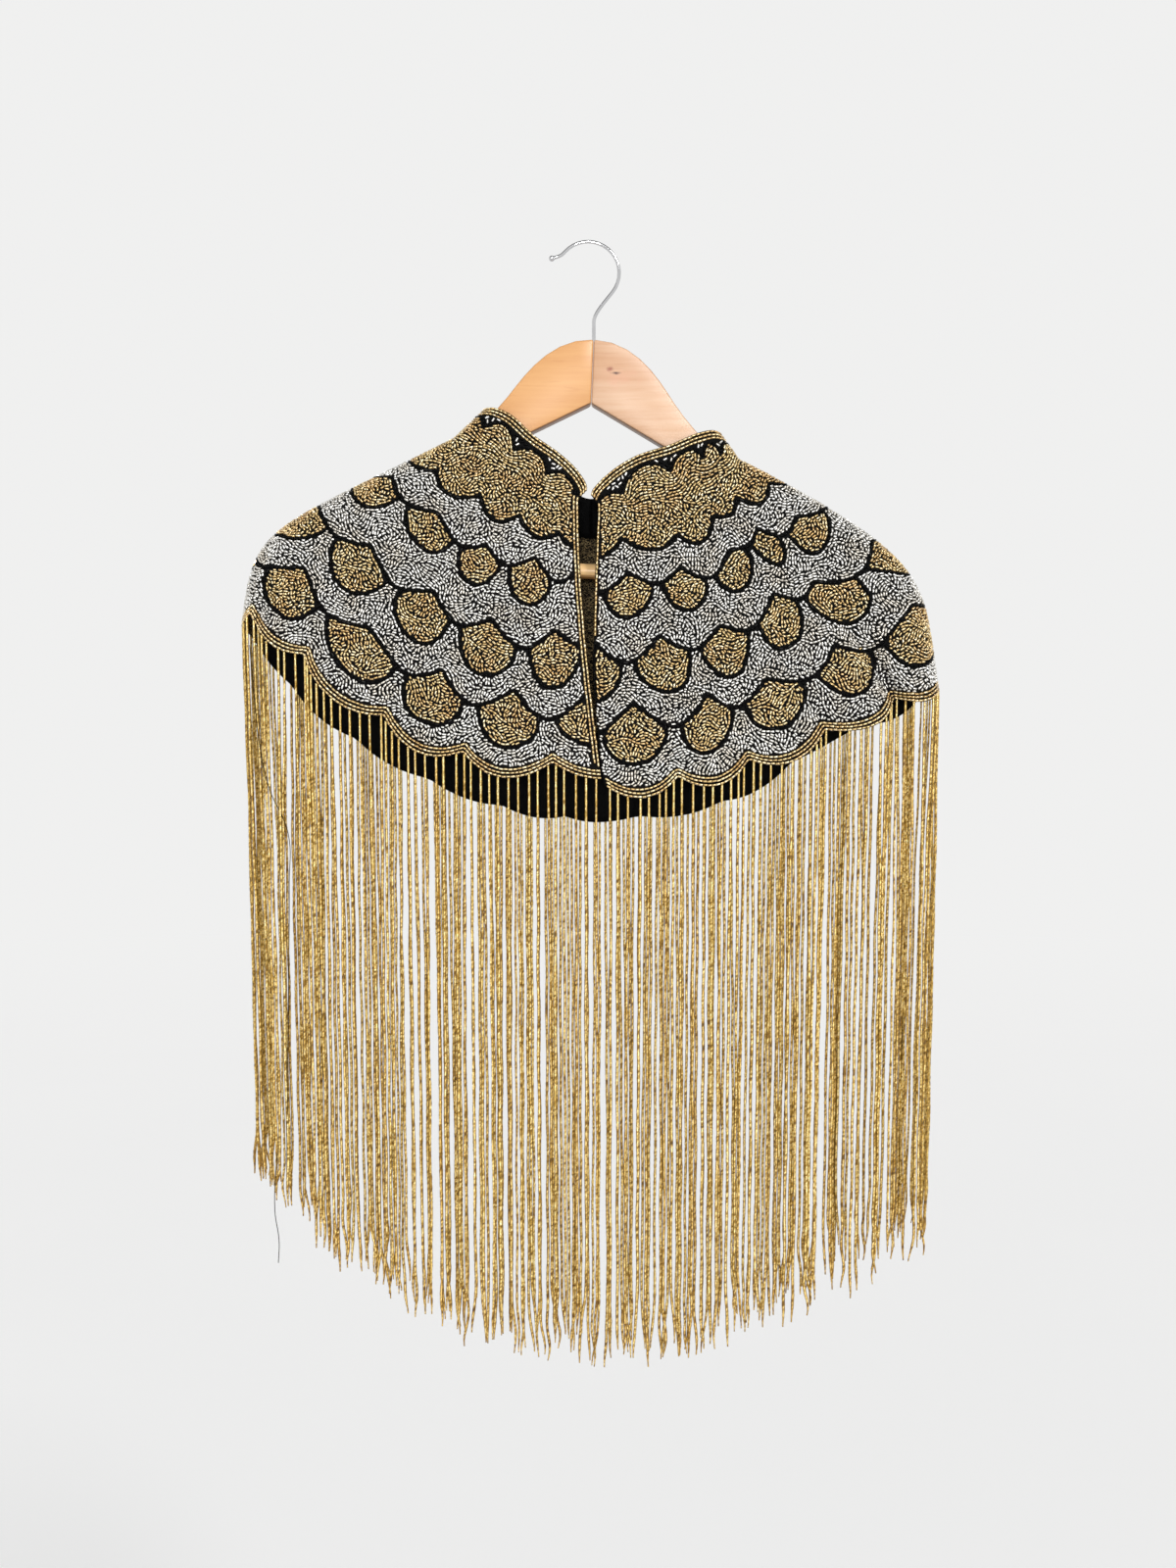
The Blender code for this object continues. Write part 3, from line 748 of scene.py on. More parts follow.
    def close_gaps(self):
        """Single beads, turned whichever way fits, where the rows have left the cloth bare."""
        tree = tree_of([spot[:3] for cell in self.taken.values() for spot in cell])
        grid = (np.arange(1.0, size - 1.0, GAP_STEP) for size in (self.columns, self.rows))
        places = np.stack(np.meshgrid(*grid, indexing="ij"), axis=2).reshape(-1, 2)
        i, j = places.astype(int).T
        part = (places - places.astype(int))[..., None]
        corner = self.channels[i, j]
        across, down = self.channels[i + 1, j] - corner, self.channels[i, j + 1] - corner
        here = corner + across * part[:, 0] + down * part[:, 1]
        nearest = np.rint(places).astype(int)
        bare = (here[:, CLEAR] > MARGIN) & (self.kinds[nearest[:, 0], nearest[:, 1]] != BLACK)
        places, here = places[bare], here[bare]
        gaps = np.array([tree.find(point)[2] for point in here[:, POINT].tolist()])
        order = np.argsort(-gaps)
        for number in order[: np.count_nonzero(gaps > CLOSEST_IN_GAPS)]:
            self.close_gap(tuple(places[number]), here[number])

    def close_gap(self, place, here):
        point = here[POINT]
        if not self.is_free([point], -1, 0, CLOSEST_IN_GAPS):
            return
        ahead = self.read(self.moved(place, here, 0.5))[POINT] - point
        ahead /= np.linalg.norm(ahead)
        beside = np.cross(here[NORMAL], ahead)
        for length, turn in GAP_TRIES:
            half = (ahead * math.cos(turn) + beside * math.sin(turn)) * length / 2
            ends = (point - half, point + half)
            if self.is_free(self.spots_of(ends), -1, 0, CLOSEST_IN_GAPS):
                self.put(ends, here[NORMAL], place, self.kind_at(place), self.new_line(), 0)
                return

    def scatter(self):
        """The few beads on the black ground between the collar's lobes and its edging."""
        across, down = SCATTER_STEPS
        for i in np.arange(2.0, self.columns - 2.0, across):
            for j in np.arange(1.0, COLLAR_ROWS, down):
                if self.kind_at((i, j)) != BLACK or RNG.random() > SCATTERED:
                    continue
                here = self.read((i, j))
                if self.cloth.at(self.cloth.below_top, i, j) < EDGING + SCATTER_MARGIN:
                    continue
                way = RNG.uniform(-1, 1, 2) @ here[ALONG.start : ASIDE.stop].reshape(2, 2)
                ahead = self.cloth.at(self.cloth.points, i + way[0], j + way[1]) - here[POINT]
                half = ahead / max(np.linalg.norm(ahead), 1e-6) * BUGLE[0] / 2
                ends = (here[POINT] - half, here[POINT] + half)
                line = self.new_line()
                if self.is_free(self.spots_of(ends), line, 0, CLOSEST):
                    silver = wave(here[POINT], *SCATTER_WAVE) > SILVER_ABOVE
                    self.put(ends, here[NORMAL], (i, j), SILVER if silver else BLACK, line, 0)


# ---- mesh building

# A bead is half a six-sided bar: how deep it is sunk, how wide and high its flat top is, how its
# ends slope, and how much rolls, tilts, widths and heights vary.
BEAD_SUNK, BEAD_TOP, BEAD_TOP_HEIGHT, END_SLOPE = 1.05, 0.20, 0.86, 0.20
ROLLS, TILTS, WIDTHS, HEIGHTS = 0.16, 0.10, (0.93, 1.05), (0.9, 1.08)
BEAD_SIDES = [(0, 1, 5, 4), (1, 2, 6, 5), (2, 3, 7, 6)]
BEAD_FACES = np.array([*BEAD_SIDES, (3, 0, 4, 7), (3, 2, 1, 0), (4, 5, 6, 7)])
BEAD_SMOOTH = (True, True, True, False, False, False)
# A bead's own tone, the share of it kept on its sides next to the cloth, which are painted darker as
# shade, and the slow wave of its hue.
DARKEST_BEAD, TONE_RANGE, PAINTED_SHADE_BELOW = 0.58, 0.42, 0.15
HUE_WAVE = (0.5, 26.0, 9)
BLACK_WIDTH = 0.95


def linked(name, data):
    made = bpy.data.objects.new(name, data)
    bpy.context.scene.collection.objects.link(made)
    return made


def make_mesh(name, points, faces, materials, smooth_faces=False):
    """An object from points in mm and arrays of faces, one for each number of corners."""
    mesh = bpy.data.meshes.new(name)
    mesh.vertices.add(len(points))
    mesh.vertices.foreach_set("co", (np.asarray(points) * MM).astype(np.float32).ravel())
    counts = np.concatenate([np.full(len(array), array.shape[1]) for array in faces])
    corners = np.concatenate([array.ravel() for array in faces])
    mesh.loops.add(len(corners))
    mesh.loops.foreach_set("vertex_index", corners.astype(np.int32))
    mesh.polygons.add(len(counts))
    starts = np.concatenate([[0], np.cumsum(counts)[:-1]])
    mesh.polygons.foreach_set("loop_start", starts.astype(np.int32))
    mesh.update(calc_edges=True)
    mesh.polygons.foreach_set("use_smooth", np.full(len(counts), smooth_faces))
    for material in materials:
        mesh.materials.append(material)
    return linked(name, mesh)


def add_tones(piece, *tones):
    """Two numbers for each point, which the materials read as lightness, painted light and shade included,
    and hue.
    """
    for name, values in zip(("tone", "hue"), tones):
        attribute = piece.data.attributes.new(name, "FLOAT", "POINT")
        attribute.data.foreach_set("value", values.astype(np.float32).ravel())


def make_beads(name, beads, material, width_share):
    """Bugle beads joined in one mesh, each lying on the cloth."""
    starts, ends, normals = (np.array(part) for part in list(zip(*beads))[:3])
    count = len(beads)
    along = unit(ends - starts)
    up = unit(normals - np.sum(normals * along, axis=1, keepdims=True) * along)
    side = np.cross(along, up)
    roll = RNG.normal(0.0, ROLLS, (count, 1))
    up, side = up * np.cos(roll) + side * np.sin(roll), side * np.cos(roll) - up * np.sin(roll)
    width = BUGLE[1] * width_share * RNG.uniform(*WIDTHS, (count, 1))
    height = BUGLE[2] * RNG.uniform(*HEIGHTS, (count, 1))
    tilt = RNG.normal(0.0, TILTS, (count, 1))
    section = ((-0.5, 0.0), (-BEAD_TOP, BEAD_TOP_HEIGHT), (BEAD_TOP, BEAD_TOP_HEIGHT), (0.5, 0.0))
    corners = []
    for end, way in ((starts, -1), (ends, 1)):
        for across, high in section:
            lifted = up * (height * high - BEAD_SUNK + way * tilt)
            corners.append(end + side * width * across + lifted - along * way * high * END_SLOPE)
    size = len(corners)
    faces = (BEAD_FACES[None] + size * np.arange(count)[:, None, None]).reshape(-1, 4)
    piece = make_mesh(name, np.stack(corners, axis=1).reshape(-1, 3), [faces], [material])
    piece.data.polygons.foreach_set("use_smooth", np.tile(BEAD_SMOOTH, count))
    own = DARKEST_BEAD + TONE_RANGE * RNG.random((count, 1))
    # The corners next to the cloth keep only a small share of the bead's tone: painted shade, so that each
    # bead looks rounded.
    tones = own * np.array((PAINTED_SHADE_BELOW, 1.0, 1.0, PAINTED_SHADE_BELOW) * 2)
    add_tones(piece, tones, np.repeat(0.5 + wave(starts, *HUE_WAVE), size))
    return piece


def make_shell(name, points, normals, depth, wall, materials):
    """A thin closed shell under the beads: its outer side, its inner side and its rim."""
    columns, rows = points.shape[:2]
    inside = columns * rows
    numbers = np.arange(inside).reshape(columns, rows)
    corners = (numbers[:-1, :-1], numbers[1:, :-1], numbers[1:, 1:], numbers[:-1, 1:])
    quads = np.stack(corners, axis=-1).reshape(-1, 4)
    rim = np.concatenate([numbers[:, 0], numbers[-1, 1:], numbers[-2::-1, -1], numbers[0, -2:0:-1]])
    after = np.roll(rim, -1)
    sides = np.stack([rim, rim + inside, after + inside, after], axis=1)
    both = [(points - normals * sunk).reshape(-1, 3) for sunk in (depth, depth + wall)]
    faces = [quads, quads[:, ::-1] + inside, sides]
    piece = make_mesh(name, np.concatenate(both), faces, materials, True)
    worn = np.repeat((0, len(materials) - 1, 0), [len(array) for array in faces])
    piece.data.polygons.foreach_set("material_index", worn.astype(np.int32))
    return piece


# ---- the fringe

# Strands in mm: their length, how far apart and how unevenly they hang, and how deep they start.
FRINGE_LENGTH, LENGTH_VARIES, SHORTER_BY, SHORTER_SHARE = 394.0, 4.0, 14.0, 0.10
FRONT_SPACING, BACK_SPACING, UNEVENNESS, STARTS_DEEP = 7.3, 4.65, 0.10, 1.1
# One ring of facets to each bead, thinner at both ends, turned a little and varying in radius.
STRAND_RADIUS, STRAND_SIDES, RING_PITCH = 1.06, 4, 1.36
THIN_END, TAPER, THIN_TOP, TOP_LENGTH = 0.45, 14.0, 0.85, 60.0
STRAND_TURNS, RING_TURNS, FACET_RADII, STRAND_RADII = 0.25, 0.15, (0.88, 1.08), (0.92, 1.06)
# Tones: paler at the top as painted light, darker on the sides that face the next strand as painted shade,
# duller at the end.
PAINTED_PALE_TOP, PAINTED_PALE_TONE, PAINTED_SHADE_BETWEEN_STRANDS = 22.0, 0.55, 0.22
DULLNESS, DULLNESS_VARIES, DULLER_END, DULL_LENGTH = 0.35, 0.2, 0.5, 50.0
# How strands stray, in mm: they draw in, hang in loose clumps, lean, wobble, and at their loose ends
# curl and splay. LEANS_BY and the like say how many times sooner than the end a stray is whole.
FRINGE_NARROWING, FRINGE_FLATTENING, SETTLED_AT = 0.04, 0.08, 0.4
CLUMP_WIDTH, CLUMP_PULL, CLUMP_AT_TOP, CLUMP_SHIFT, CLUMP_SHIFT_WIDTH = 24.0, 1.2, 0.35, 0.8, 37.0
LEAN_X, LEANS_BY, LEAN_Y, LEANS_Y_BY = 0.9, 1.3, 1.3, 2
WOBBLE, WOBBLES_BY, WOBBLE_WIDTHS, WOBBLE_Y_WIDTH = 0.30, 4, (10, 18), 13.0
LOOSE_LENGTH, CURL, CURL_WIDTHS, SPLAY = 60.0, 0.8, (4.5, 8.0), 1.7

# Where strands hang together: each bundle's middle, how far it reaches to each side, and how much
# of the way to its middle its strands move.
Bundle = namedtuple("Bundle", "x reach pull")
BUNDLES = (
    Bundle(-227.0, 13.0, 0.30),
    Bundle(-243.0, 6.0, 0.30),
    Bundle(236.0, 12.0, 0.30),
    Bundle(207.0, 9.0, 0.30),
)


def strand_starts(cloth, first, last, spacing):
    """Where strands hang from the hem between two columns, and the angle the cloth faces there."""
    outwards = cloth.normals[first : last + 1, -1]
    hem = cloth.points[first : last + 1, -1] - STARTS_DEEP * outwards
    along = lengths_along(hem)
    count = int(along[-1] / spacing)
    reached = (np.arange(count) + 0.5) * along[-1] / count
    reached += RNG.normal(0.0, UNEVENNESS * spacing, count)
    faces = on_path(reached, along, outwards)
    return on_path(reached, along, hem), np.arctan2(faces[:, 1], faces[:, 0])


def strand_lines(starts):
    """The middle line of each strand, ring by ring, and how far each ring is from both ends."""
    count = len(starts)
    start_x, start_y, start_z = (starts[:, axis : axis + 1] for axis in range(3))

    def each(spread):
        return RNG.normal(0.0, spread, (count, 1))

    lengths = FRINGE_LENGTH + RNG.normal(0.0, LENGTH_VARIES, count)
    lengths = (lengths - SHORTER_BY * (RNG.random(count) < SHORTER_SHARE))[:, None]
    share = np.linspace(0.0, 1.0, int(FRINGE_LENGTH / RING_PITCH) + 1)[None, :]
    down = lengths * share
    x = start_x * (1.0 - FRINGE_NARROWING * share)
    settled = smooth(share / SETTLED_AT)
    for bundle in BUNDLES:
        near = np.abs(start_x - bundle.x) < bundle.reach
        x = x + near * bundle.pull * settled * (bundle.x - start_x)
    phase = 2 * math.pi * RNG.random()
    clump = start_x / CLUMP_WIDTH + CLUMP_SHIFT * np.sin(start_x / CLUMP_SHIFT_WIDTH)
    gathered = CLUMP_AT_TOP + (1.0 - CLUMP_AT_TOP) * settled
    x = x - CLUMP_PULL * np.sin(2 * math.pi * clump + phase) * gathered
    x = x + each(LEAN_X) * smooth(share * LEANS_BY)
    slow, quick = 2 * math.pi * RNG.random((2, count, 1))
    begun = smooth(share * WOBBLES_BY)
    x = x + WOBBLE * np.sin(down / RNG.uniform(*WOBBLE_WIDTHS, (count, 1)) + slow) * begun
    loose = smooth((down - lengths + LOOSE_LENGTH) / LOOSE_LENGTH)
    x = x + each(CURL) * loose * np.sin(down / RNG.uniform(*CURL_WIDTHS, (count, 1)) + quick)
    x = x + each(SPLAY) * loose**3
    y = start_y * (1.0 - FRINGE_FLATTENING * share) + each(LEAN_Y) * smooth(share * LEANS_Y_BY)
    y = y + WOBBLE * np.sin(down / WOBBLE_Y_WIDTH + quick) * begun
    return np.stack([x, y, start_z - down], axis=2), down, lengths - down


def make_strands(name, starts, facing, material):
    """Strands of seed beads joined in one mesh, each a tube of facets."""
    lines, down, left = strand_lines(starts)
    count, rings, _ = lines.shape
    turns = facing[:, None, None] + RNG.normal(0.0, STRAND_TURNS, (count, 1, 1))
    turns = turns + RNG.normal(0.0, RING_TURNS, (count, rings, 1))
    angles = turns + np.arange(STRAND_SIDES) * 2 * math.pi / STRAND_SIDES
    end = THIN_END + (1.0 - THIN_END) * smooth(left / TAPER)
    top = THIN_TOP + (1.0 - THIN_TOP) * smooth(down / TOP_LENGTH)
    radius = STRAND_RADIUS * RNG.uniform(*FACET_RADII, (count, rings, STRAND_SIDES))
    radius *= RNG.uniform(*STRAND_RADII, (count, 1, 1)) * end[..., None]
    radius *= top[..., None]
    ring = np.stack([np.cos(angles), np.sin(angles), np.zeros_like(angles)], axis=3)
    points = lines[:, :, None, :] + radius[..., None] * ring
    numbers = np.arange(radius.size).reshape(radius.shape)
    after = np.roll(numbers, -1, axis=2)
    quads = np.stack([numbers[:, 1:], after[:, 1:], after[:, :-1], numbers[:, :-1]], axis=-1)
    faces = np.concatenate([quads.reshape(-1, 4), numbers[:, 0], numbers[:, -1][:, ::-1]])
    piece = make_mesh(name, points.reshape(-1, 3), [faces], [material], True)
    # The top of each strand is painted paler and varies less: painted light.
    painted_pale = (np.clip(1.0 - down / PAINTED_PALE_TOP, 0.0, 1.0) ** 0.5)[..., None]
    tones = RNG.random(radius.shape) * (1.0 - 0.5 * painted_pale) + PAINTED_PALE_TONE * painted_pale
    # The two sides that face the next strand are painted darker: painted shade between the strands.
    tones *= np.array((1.0, PAINTED_SHADE_BETWEEN_STRANDS) * 2)
    dull = RNG.normal(DULLNESS, DULLNESS_VARIES, (count, 1))
    dull = np.clip(dull + DULLER_END * smooth(1.0 - left / DULL_LENGTH), 0, 1)
    add_tones(piece, tones, np.repeat(dull[..., None], STRAND_SIDES, axis=2))
    return piece


def make_thread(name, points, radius, material):
    """One thin loose thread through these points, in mm."""
    curve = bpy.data.curves.new(name, "CURVE")
    curve.dimensions = "3D"
    curve.bevel_depth = radius * MM
    curve.bevel_resolution = 1
    curve.resolution_u = 8
    curve.use_fill_caps = True
    spline = curve.splines.new("BEZIER")
    spline.bezier_points.add(len(points) - 1)
    for knot, point in zip(spline.bezier_points, points):
        knot.co = Vector(point) * MM
        knot.handle_left_type = knot.handle_right_type = "AUTO"
    curve.materials.append(material)
    return linked(name, curve)


# ---- the materials


class Nodes:
    """The nodes of a material or a world, made and linked by short calls."""

    def __init__(self, owner, shader="Principled BSDF"):
        owner.use_nodes = True
        self.owner, self.tree = owner, owner.node_tree
        self.shader = self.tree.nodes[shader]

    def set(self, **inputs):
        for name, value in inputs.items():
            self.shader.inputs[name.replace("_", " ")].default_value = value

    def fill(self, node, inputs):
        for name, value in inputs.items():
            if isinstance(value, bpy.types.NodeSocket):
                self.tree.links.new(value, node.inputs[name])
            else:
                node.inputs[name].default_value = value
        return node

    def add(self, kind, inputs=None, **settings):
        node = self.tree.nodes.new("ShaderNode" + kind)
        for name, value in settings.items():
            setattr(node, name, value)
        return self.fill(node, inputs or {})

    def link(self, output, name):
        self.tree.links.new(output, self.shader.inputs[name])

    def number(self, name):
        return self.add("Attribute", attribute_name=name).outputs["Fac"]

    def place(self):
        return self.add("TexCoord").outputs["Object"]

    def length_of(self, vector):
        return self.add("VectorMath", {0: vector}, operation="LENGTH").outputs["Value"]

    def ramp(self, factor, *stops):
        """A colour ramp with stops of (place, colour), or (place, level) for a grey."""
        node = self.add("ValToRGB", {"Fac": factor})
        while len(node.color_ramp.elements) < len(stops):
            node.color_ramp.elements.new(0.5)
        for element, (place, colour) in zip(node.color_ramp.elements, stops):
            element.position = place
            element.color = (*(colour if isinstance(colour, tuple) else (colour,) * 3), 1.0)
        return node.outputs["Color"]

    def mix(self, factor, first, second, blend="MIX"):
        node = self.add("Mix", data_type="RGBA", blend_type=blend)
        first, second = ((*one, 1.0) if isinstance(one, tuple) else one for one in (first, second))
        return self.fill(node, {0: factor, 6: first, 7: second}).outputs[2]

    def mapped(self, place, turn, scale):
        inputs = {"Vector": place, "Rotation": (0, turn, 0), "Scale": scale}
        return self.add("Mapping", inputs).outputs["Vector"]

    def noise(self, scale, detail=4.0, stretch=(1, 1, 1), turn=0.0, rough=0.5):
        place = self.mapped(self.place(), turn, stretch)
        inputs = {"Vector": place, "Scale": scale, "Detail": detail, "Roughness": rough}
        return self.add("TexNoise", inputs).outputs["Fac"]

    def bump(self, height, strength, distance):
        node = self.add("Bump", {"Height": height, "Strength": strength, "Distance": distance})
        self.link(node.outputs["Normal"], "Normal")


def material_nodes(name):
    return Nodes(bpy.data.materials.new(name))


def bead_material(name, stops, shift, metallic=0.50, roughness=0.26, coat=0.9, **more):
    """Glass bugle beads with a metal lining: each bead has its own tone, painted darker on its sides as
    shade, and each patch its own hue.
    """
    nodes = material_nodes(name)
    colour = nodes.ramp(nodes.number("tone"), *stops)
    amount = nodes.ramp(nodes.number("hue"), (0.35, 0), (0.95, 0.6))
    nodes.link(nodes.mix(amount, colour, nodes.mix(1.0, colour, shift, "MULTIPLY")), "Base Color")
    nodes.set(Metallic=metallic, Roughness=roughness, Coat_Weight=coat, Coat_Roughness=0.10)
    nodes.set(Coat_IOR=1.8, **more)
    nodes.bump(nodes.noise(900.0, 2.0), 0.25, 0.0002)
    return nodes.owner


def cloth_material(name, colour, threads=None):
    """Black ground cloth, and on the inside the brown and gold threads that hold the beads."""
    nodes = material_nodes(name)
    weave = nodes.noise(1400.0, 2.0, (1, 1, 0.6))
    shade = nodes.ramp(weave, (0.35, tuple(0.6 * part for part in colour)), (0.7, colour))
    if threads:
        crossing = nodes.noise(420.0, 2.0, (1, 1, 1.6), 0.7, 0.6)
        shade = nodes.mix(nodes.ramp(crossing, (0.46, 0), (0.50, 1), (0.54, 0)), shade, threads)
    nodes.link(shade, "Base Color")
    nodes.set(Roughness=0.9, Specular_IOR_Level=0.04)
    nodes.bump(weave, 0.4, 0.0003)
    return nodes.owner


def satin_material():
    nodes = material_nodes("black_satin")
    weave = nodes.noise(1100.0, 2.0, (1, 1, 0.35))
    creases = nodes.noise(26.0, 3.0, (1, 1, 0.5))
    nodes.link(nodes.ramp(weave, (0.3, 0.0015), (0.75, 0.004)), "Base Color")
    nodes.set(Roughness=0.55, Specular_IOR_Level=0.02)
    nodes.bump(nodes.mix(0.25, creases, weave), 0.5, 0.0015)
    return nodes.owner


def strand_material():
    """Gold-lined seed beads with light and shade painted into their colour: random tones stand for beads
    catching the light or turned away from it, and bright specks are painted glints.
    """
    nodes = material_nodes("gold_seed_beads")
    stops = (
        (0.00, (0.120, 0.055, 0.004)),
        (0.18, (0.44, 0.265, 0.038)),
        (0.48, (0.84, 0.630, 0.220)),
        (0.80, (0.99, 0.840, 0.430)),
        (1.00, (1.00, 0.950, 0.680)),
    )
    colour = nodes.ramp(nodes.number("tone"), *stops)
    specks = nodes.noise(1150.0, 2.0, rough=0.75)
    # Dark specks, and bright specks above white that are painted glints.
    dark_specks_and_painted_glints = nodes.ramp(specks, (0.34, (0.22, 0.15, 0.08)), (0.47, (0.85, 0.83, 0.80)), (0.66, 1.5))
    colour = nodes.mix(0.85, colour, dark_specks_and_painted_glints, "MULTIPLY")
    darker = nodes.mix(1.0, colour, (0.80, 0.69, 0.50), "MULTIPLY")
    nodes.link(nodes.mix(nodes.number("hue"), colour, darker), "Base Color")
    nodes.set(Metallic=0.55, Roughness=0.34, Coat_Weight=0.10, Coat_Roughness=0.12)
    nodes.bump(specks, 0.8, 0.0006)
    return nodes.owner


# A knot in the wood: its middle and half sizes in metres, its colour and how strong it is.
Knot = namedtuple("Knot", "centre size tint amount")
LEFT_KNOTS = (Knot((-0.060, -0.006, -0.135), (0.012, 0.05, 0.0012), (0.96, 0.80, 0.58), 0.5),)
RIGHT_KNOTS = (
    Knot((0.020, -0.006, -0.0985), (0.034, 0.05, 0.017), (0.58, 0.30, 0.19), 0.50),
    Knot((0.0140, -0.006, -0.0920), (0.0066, 0.05, 0.0048), (0.28, 0.09, 0.05), 1.0),
    Knot((0.0178, -0.006, -0.0950), (0.0090, 0.05, 0.0026), (0.06, 0.025, 0.018), 1.0),
)
# Painted shade: the undersides are darker and browner, by these shares of each colour.
PAINTED_UNDERSIDE_SHADE = (0.34, 0.25, 0.15)


def wood_material(name, light, dark, streak, turn, knots=()):
    """Varnished beech: fine grain along the arm, slow colour bands, flecks, small knots and painted shade
    on the undersides.
    """
    nodes = material_nodes(name)
    bands = nodes.noise(9.0, 4.0, (0.6, 1.0, 3.0), turn, 0.55)
    grain = nodes.noise(120.0, 5.0, (0.10, 1.0, 2.2), turn, 0.6)
    flecks = nodes.noise(420.0, 2.0, (0.12, 1.0, 1.4), turn, 0.5)
    colour = nodes.ramp(bands, (0.30, dark), (0.62, light))
    colour = nodes.mix(0.8, colour, nodes.ramp(grain, (0.40, 1), (0.72, streak)), "MULTIPLY")
    spots = nodes.ramp(flecks, (0.58, 1), (0.75, (0.86, 0.76, 0.68)))
    colour = nodes.mix(0.5, colour, spots, "MULTIPLY")
    for knot in knots:
        moved = nodes.add("VectorMath", {0: nodes.place(), 1: knot.centre}, operation="SUBTRACT")
        place = nodes.mapped(moved.outputs[0], turn, [1 / size for size in knot.size])
        inputs = {0: nodes.length_of(place), 1: nodes.noise(150.0)}
        wobble = nodes.add("Math", inputs, operation="ADD").outputs[0]
        colour = nodes.mix(nodes.ramp(wobble, (0.55, knot.amount), (1.5, 0)), colour, knot.tint)
    # Faces that point down are painted darker and browner: painted shade on the undersides.
    normal = nodes.add("NewGeometry").outputs["True Normal"]
    upwards = nodes.add("SeparateXYZ", {0: normal}).outputs["Z"]
    downwards = nodes.add("Math", {0: upwards, 1: -1.0}, operation="MULTIPLY").outputs[0]
    underside_painted_shade = nodes.ramp(downwards, (0.45, 1), (0.80, PAINTED_UNDERSIDE_SHADE))
    nodes.link(nodes.mix(1.0, colour, underside_painted_shade, "MULTIPLY"), "Base Color")
    nodes.set(Roughness=0.42, Coat_Weight=0.22, Coat_Roughness=0.25)
    nodes.bump(grain, 0.06, 0.0004)
    return nodes.owner


def steel_material():
    nodes = material_nodes("bright_steel")
    dulled = nodes.noise(60.0, 2.0)
    shade = nodes.ramp(dulled, (0.3, (0.56, 0.56, 0.57)), (0.8, (0.70, 0.70, 0.71)))
    nodes.link(shade, "Base Color")
    nodes.set(Metallic=1.0, Roughness=0.10)
    nodes.bump(dulled, 0.02, 0.0002)
    return nodes.owner


SILVER_STOPS = (
    (0.00, (0.012, 0.010, 0.007)),
    (0.30, (0.33, 0.305, 0.260)),
    (0.75, (0.84, 0.825, 0.780)),
    (1.00, (1.0, 0.99, 0.96)),
)
GOLD_STOPS = (
    (0.00, (0.016, 0.009, 0.003)),
    (0.30, (0.26, 0.165, 0.060)),
    (0.75, (0.73, 0.520, 0.205)),
    (1.00, (1.0, 0.90, 0.60)),
)
BLACK_STOPS = ((0.00, 0.001), (0.96, 0.003), (1.00, 0.03))
# The two arms are one beech tinted apart as painted light and shade: the left is painted more orange and
# darker, as in shade, and the right paler and pinker, as lit.
BEECH_PAINTED_IN_SHADE = ((0.62, 0.335, 0.135), (0.54, 0.265, 0.095), (0.93, 0.86, 0.78), -0.50)
BEECH_PAINTED_AS_LIT = ((0.60, 0.400, 0.265), (0.50, 0.280, 0.155), (0.88, 0.76, 0.64), 0.58)
# The bar's beech is painted much lighter than the arms': its own colour plus painted light, standing in
# for the light that reaches it through the opening between the fronts.
BAR_BEECH_PAINTED_LIT = ((1.0, 0.70, 0.33), (1.0, 0.62, 0.27), (0.97, 0.90, 0.80), 0.04)


def make_materials():
    black = {"metallic": 0.0, "roughness": 0.22, "coat": 0.0, "Specular_IOR_Level": 0.06}
    return {
        "silver": bead_material("silver_bugles", SILVER_STOPS, (0.80, 0.72, 0.60)),
        "gold": bead_material("gold_bugles", GOLD_STOPS, (0.86, 0.66, 0.44)),
        "black": bead_material("black_bugles", BLACK_STOPS, (0.9, 0.9, 0.9), **black),
        "ground": cloth_material("black_ground", (0.006, 0.006, 0.006)),
        "inside": cloth_material("back_of_beading", (0.008, 0.007, 0.006), (0.38, 0.28, 0.14)),
        "satin": satin_material(),
        "strands": strand_material(),
        "left_wood": wood_material("beech_with_painted_shade", *BEECH_PAINTED_IN_SHADE, LEFT_KNOTS),
        "right_wood": wood_material("beech_with_painted_light", *BEECH_PAINTED_AS_LIT, RIGHT_KNOTS),
        "bar_wood": wood_material("bar_beech_painted_lit", *BAR_BEECH_PAINTED_LIT),
        "steel": steel_material(),
        "thread": cloth_material("loose_thread", (0.012, 0.010, 0.009)),
    }


# ---- the assembly

# The flat cut of each sheet in metres: the box round it, and its area.
Cut = namedtuple("Cut", "width length area")
# The facing's rows, the columns left out beside it, and the share of a notch that it bridges.
FACING_ROWS, FACING_LEAVES, BRIDGED = 25, 12, 0.7
# How deep the cloth and the facing lie under the surface, and how thick they are, in mm.
CLOTH_DEPTH, CLOTH_WALL, FACING_DEPTH, FACING_WALL = 1.05, 0.7, 2.5, 0.5

# Loose threads in front of the left front's fringe: the points that each hangs through, in mm.
THREAD_RADIUS = 0.28
THREADS = (
    ((-240.7, -25, -292), (-237.9, -26, -323), (-227.3, -28, -390), (-212.5, -30, -425),
     (-211.8, -30, -460), (-212.4, -30, -540), (-213.4, -29, -610), (-214, -28, -669)),
    ((-221, -27, -650), (-222.5, -27, -690), (-219.5, -27, -712), (-220, -27, -727)),
)


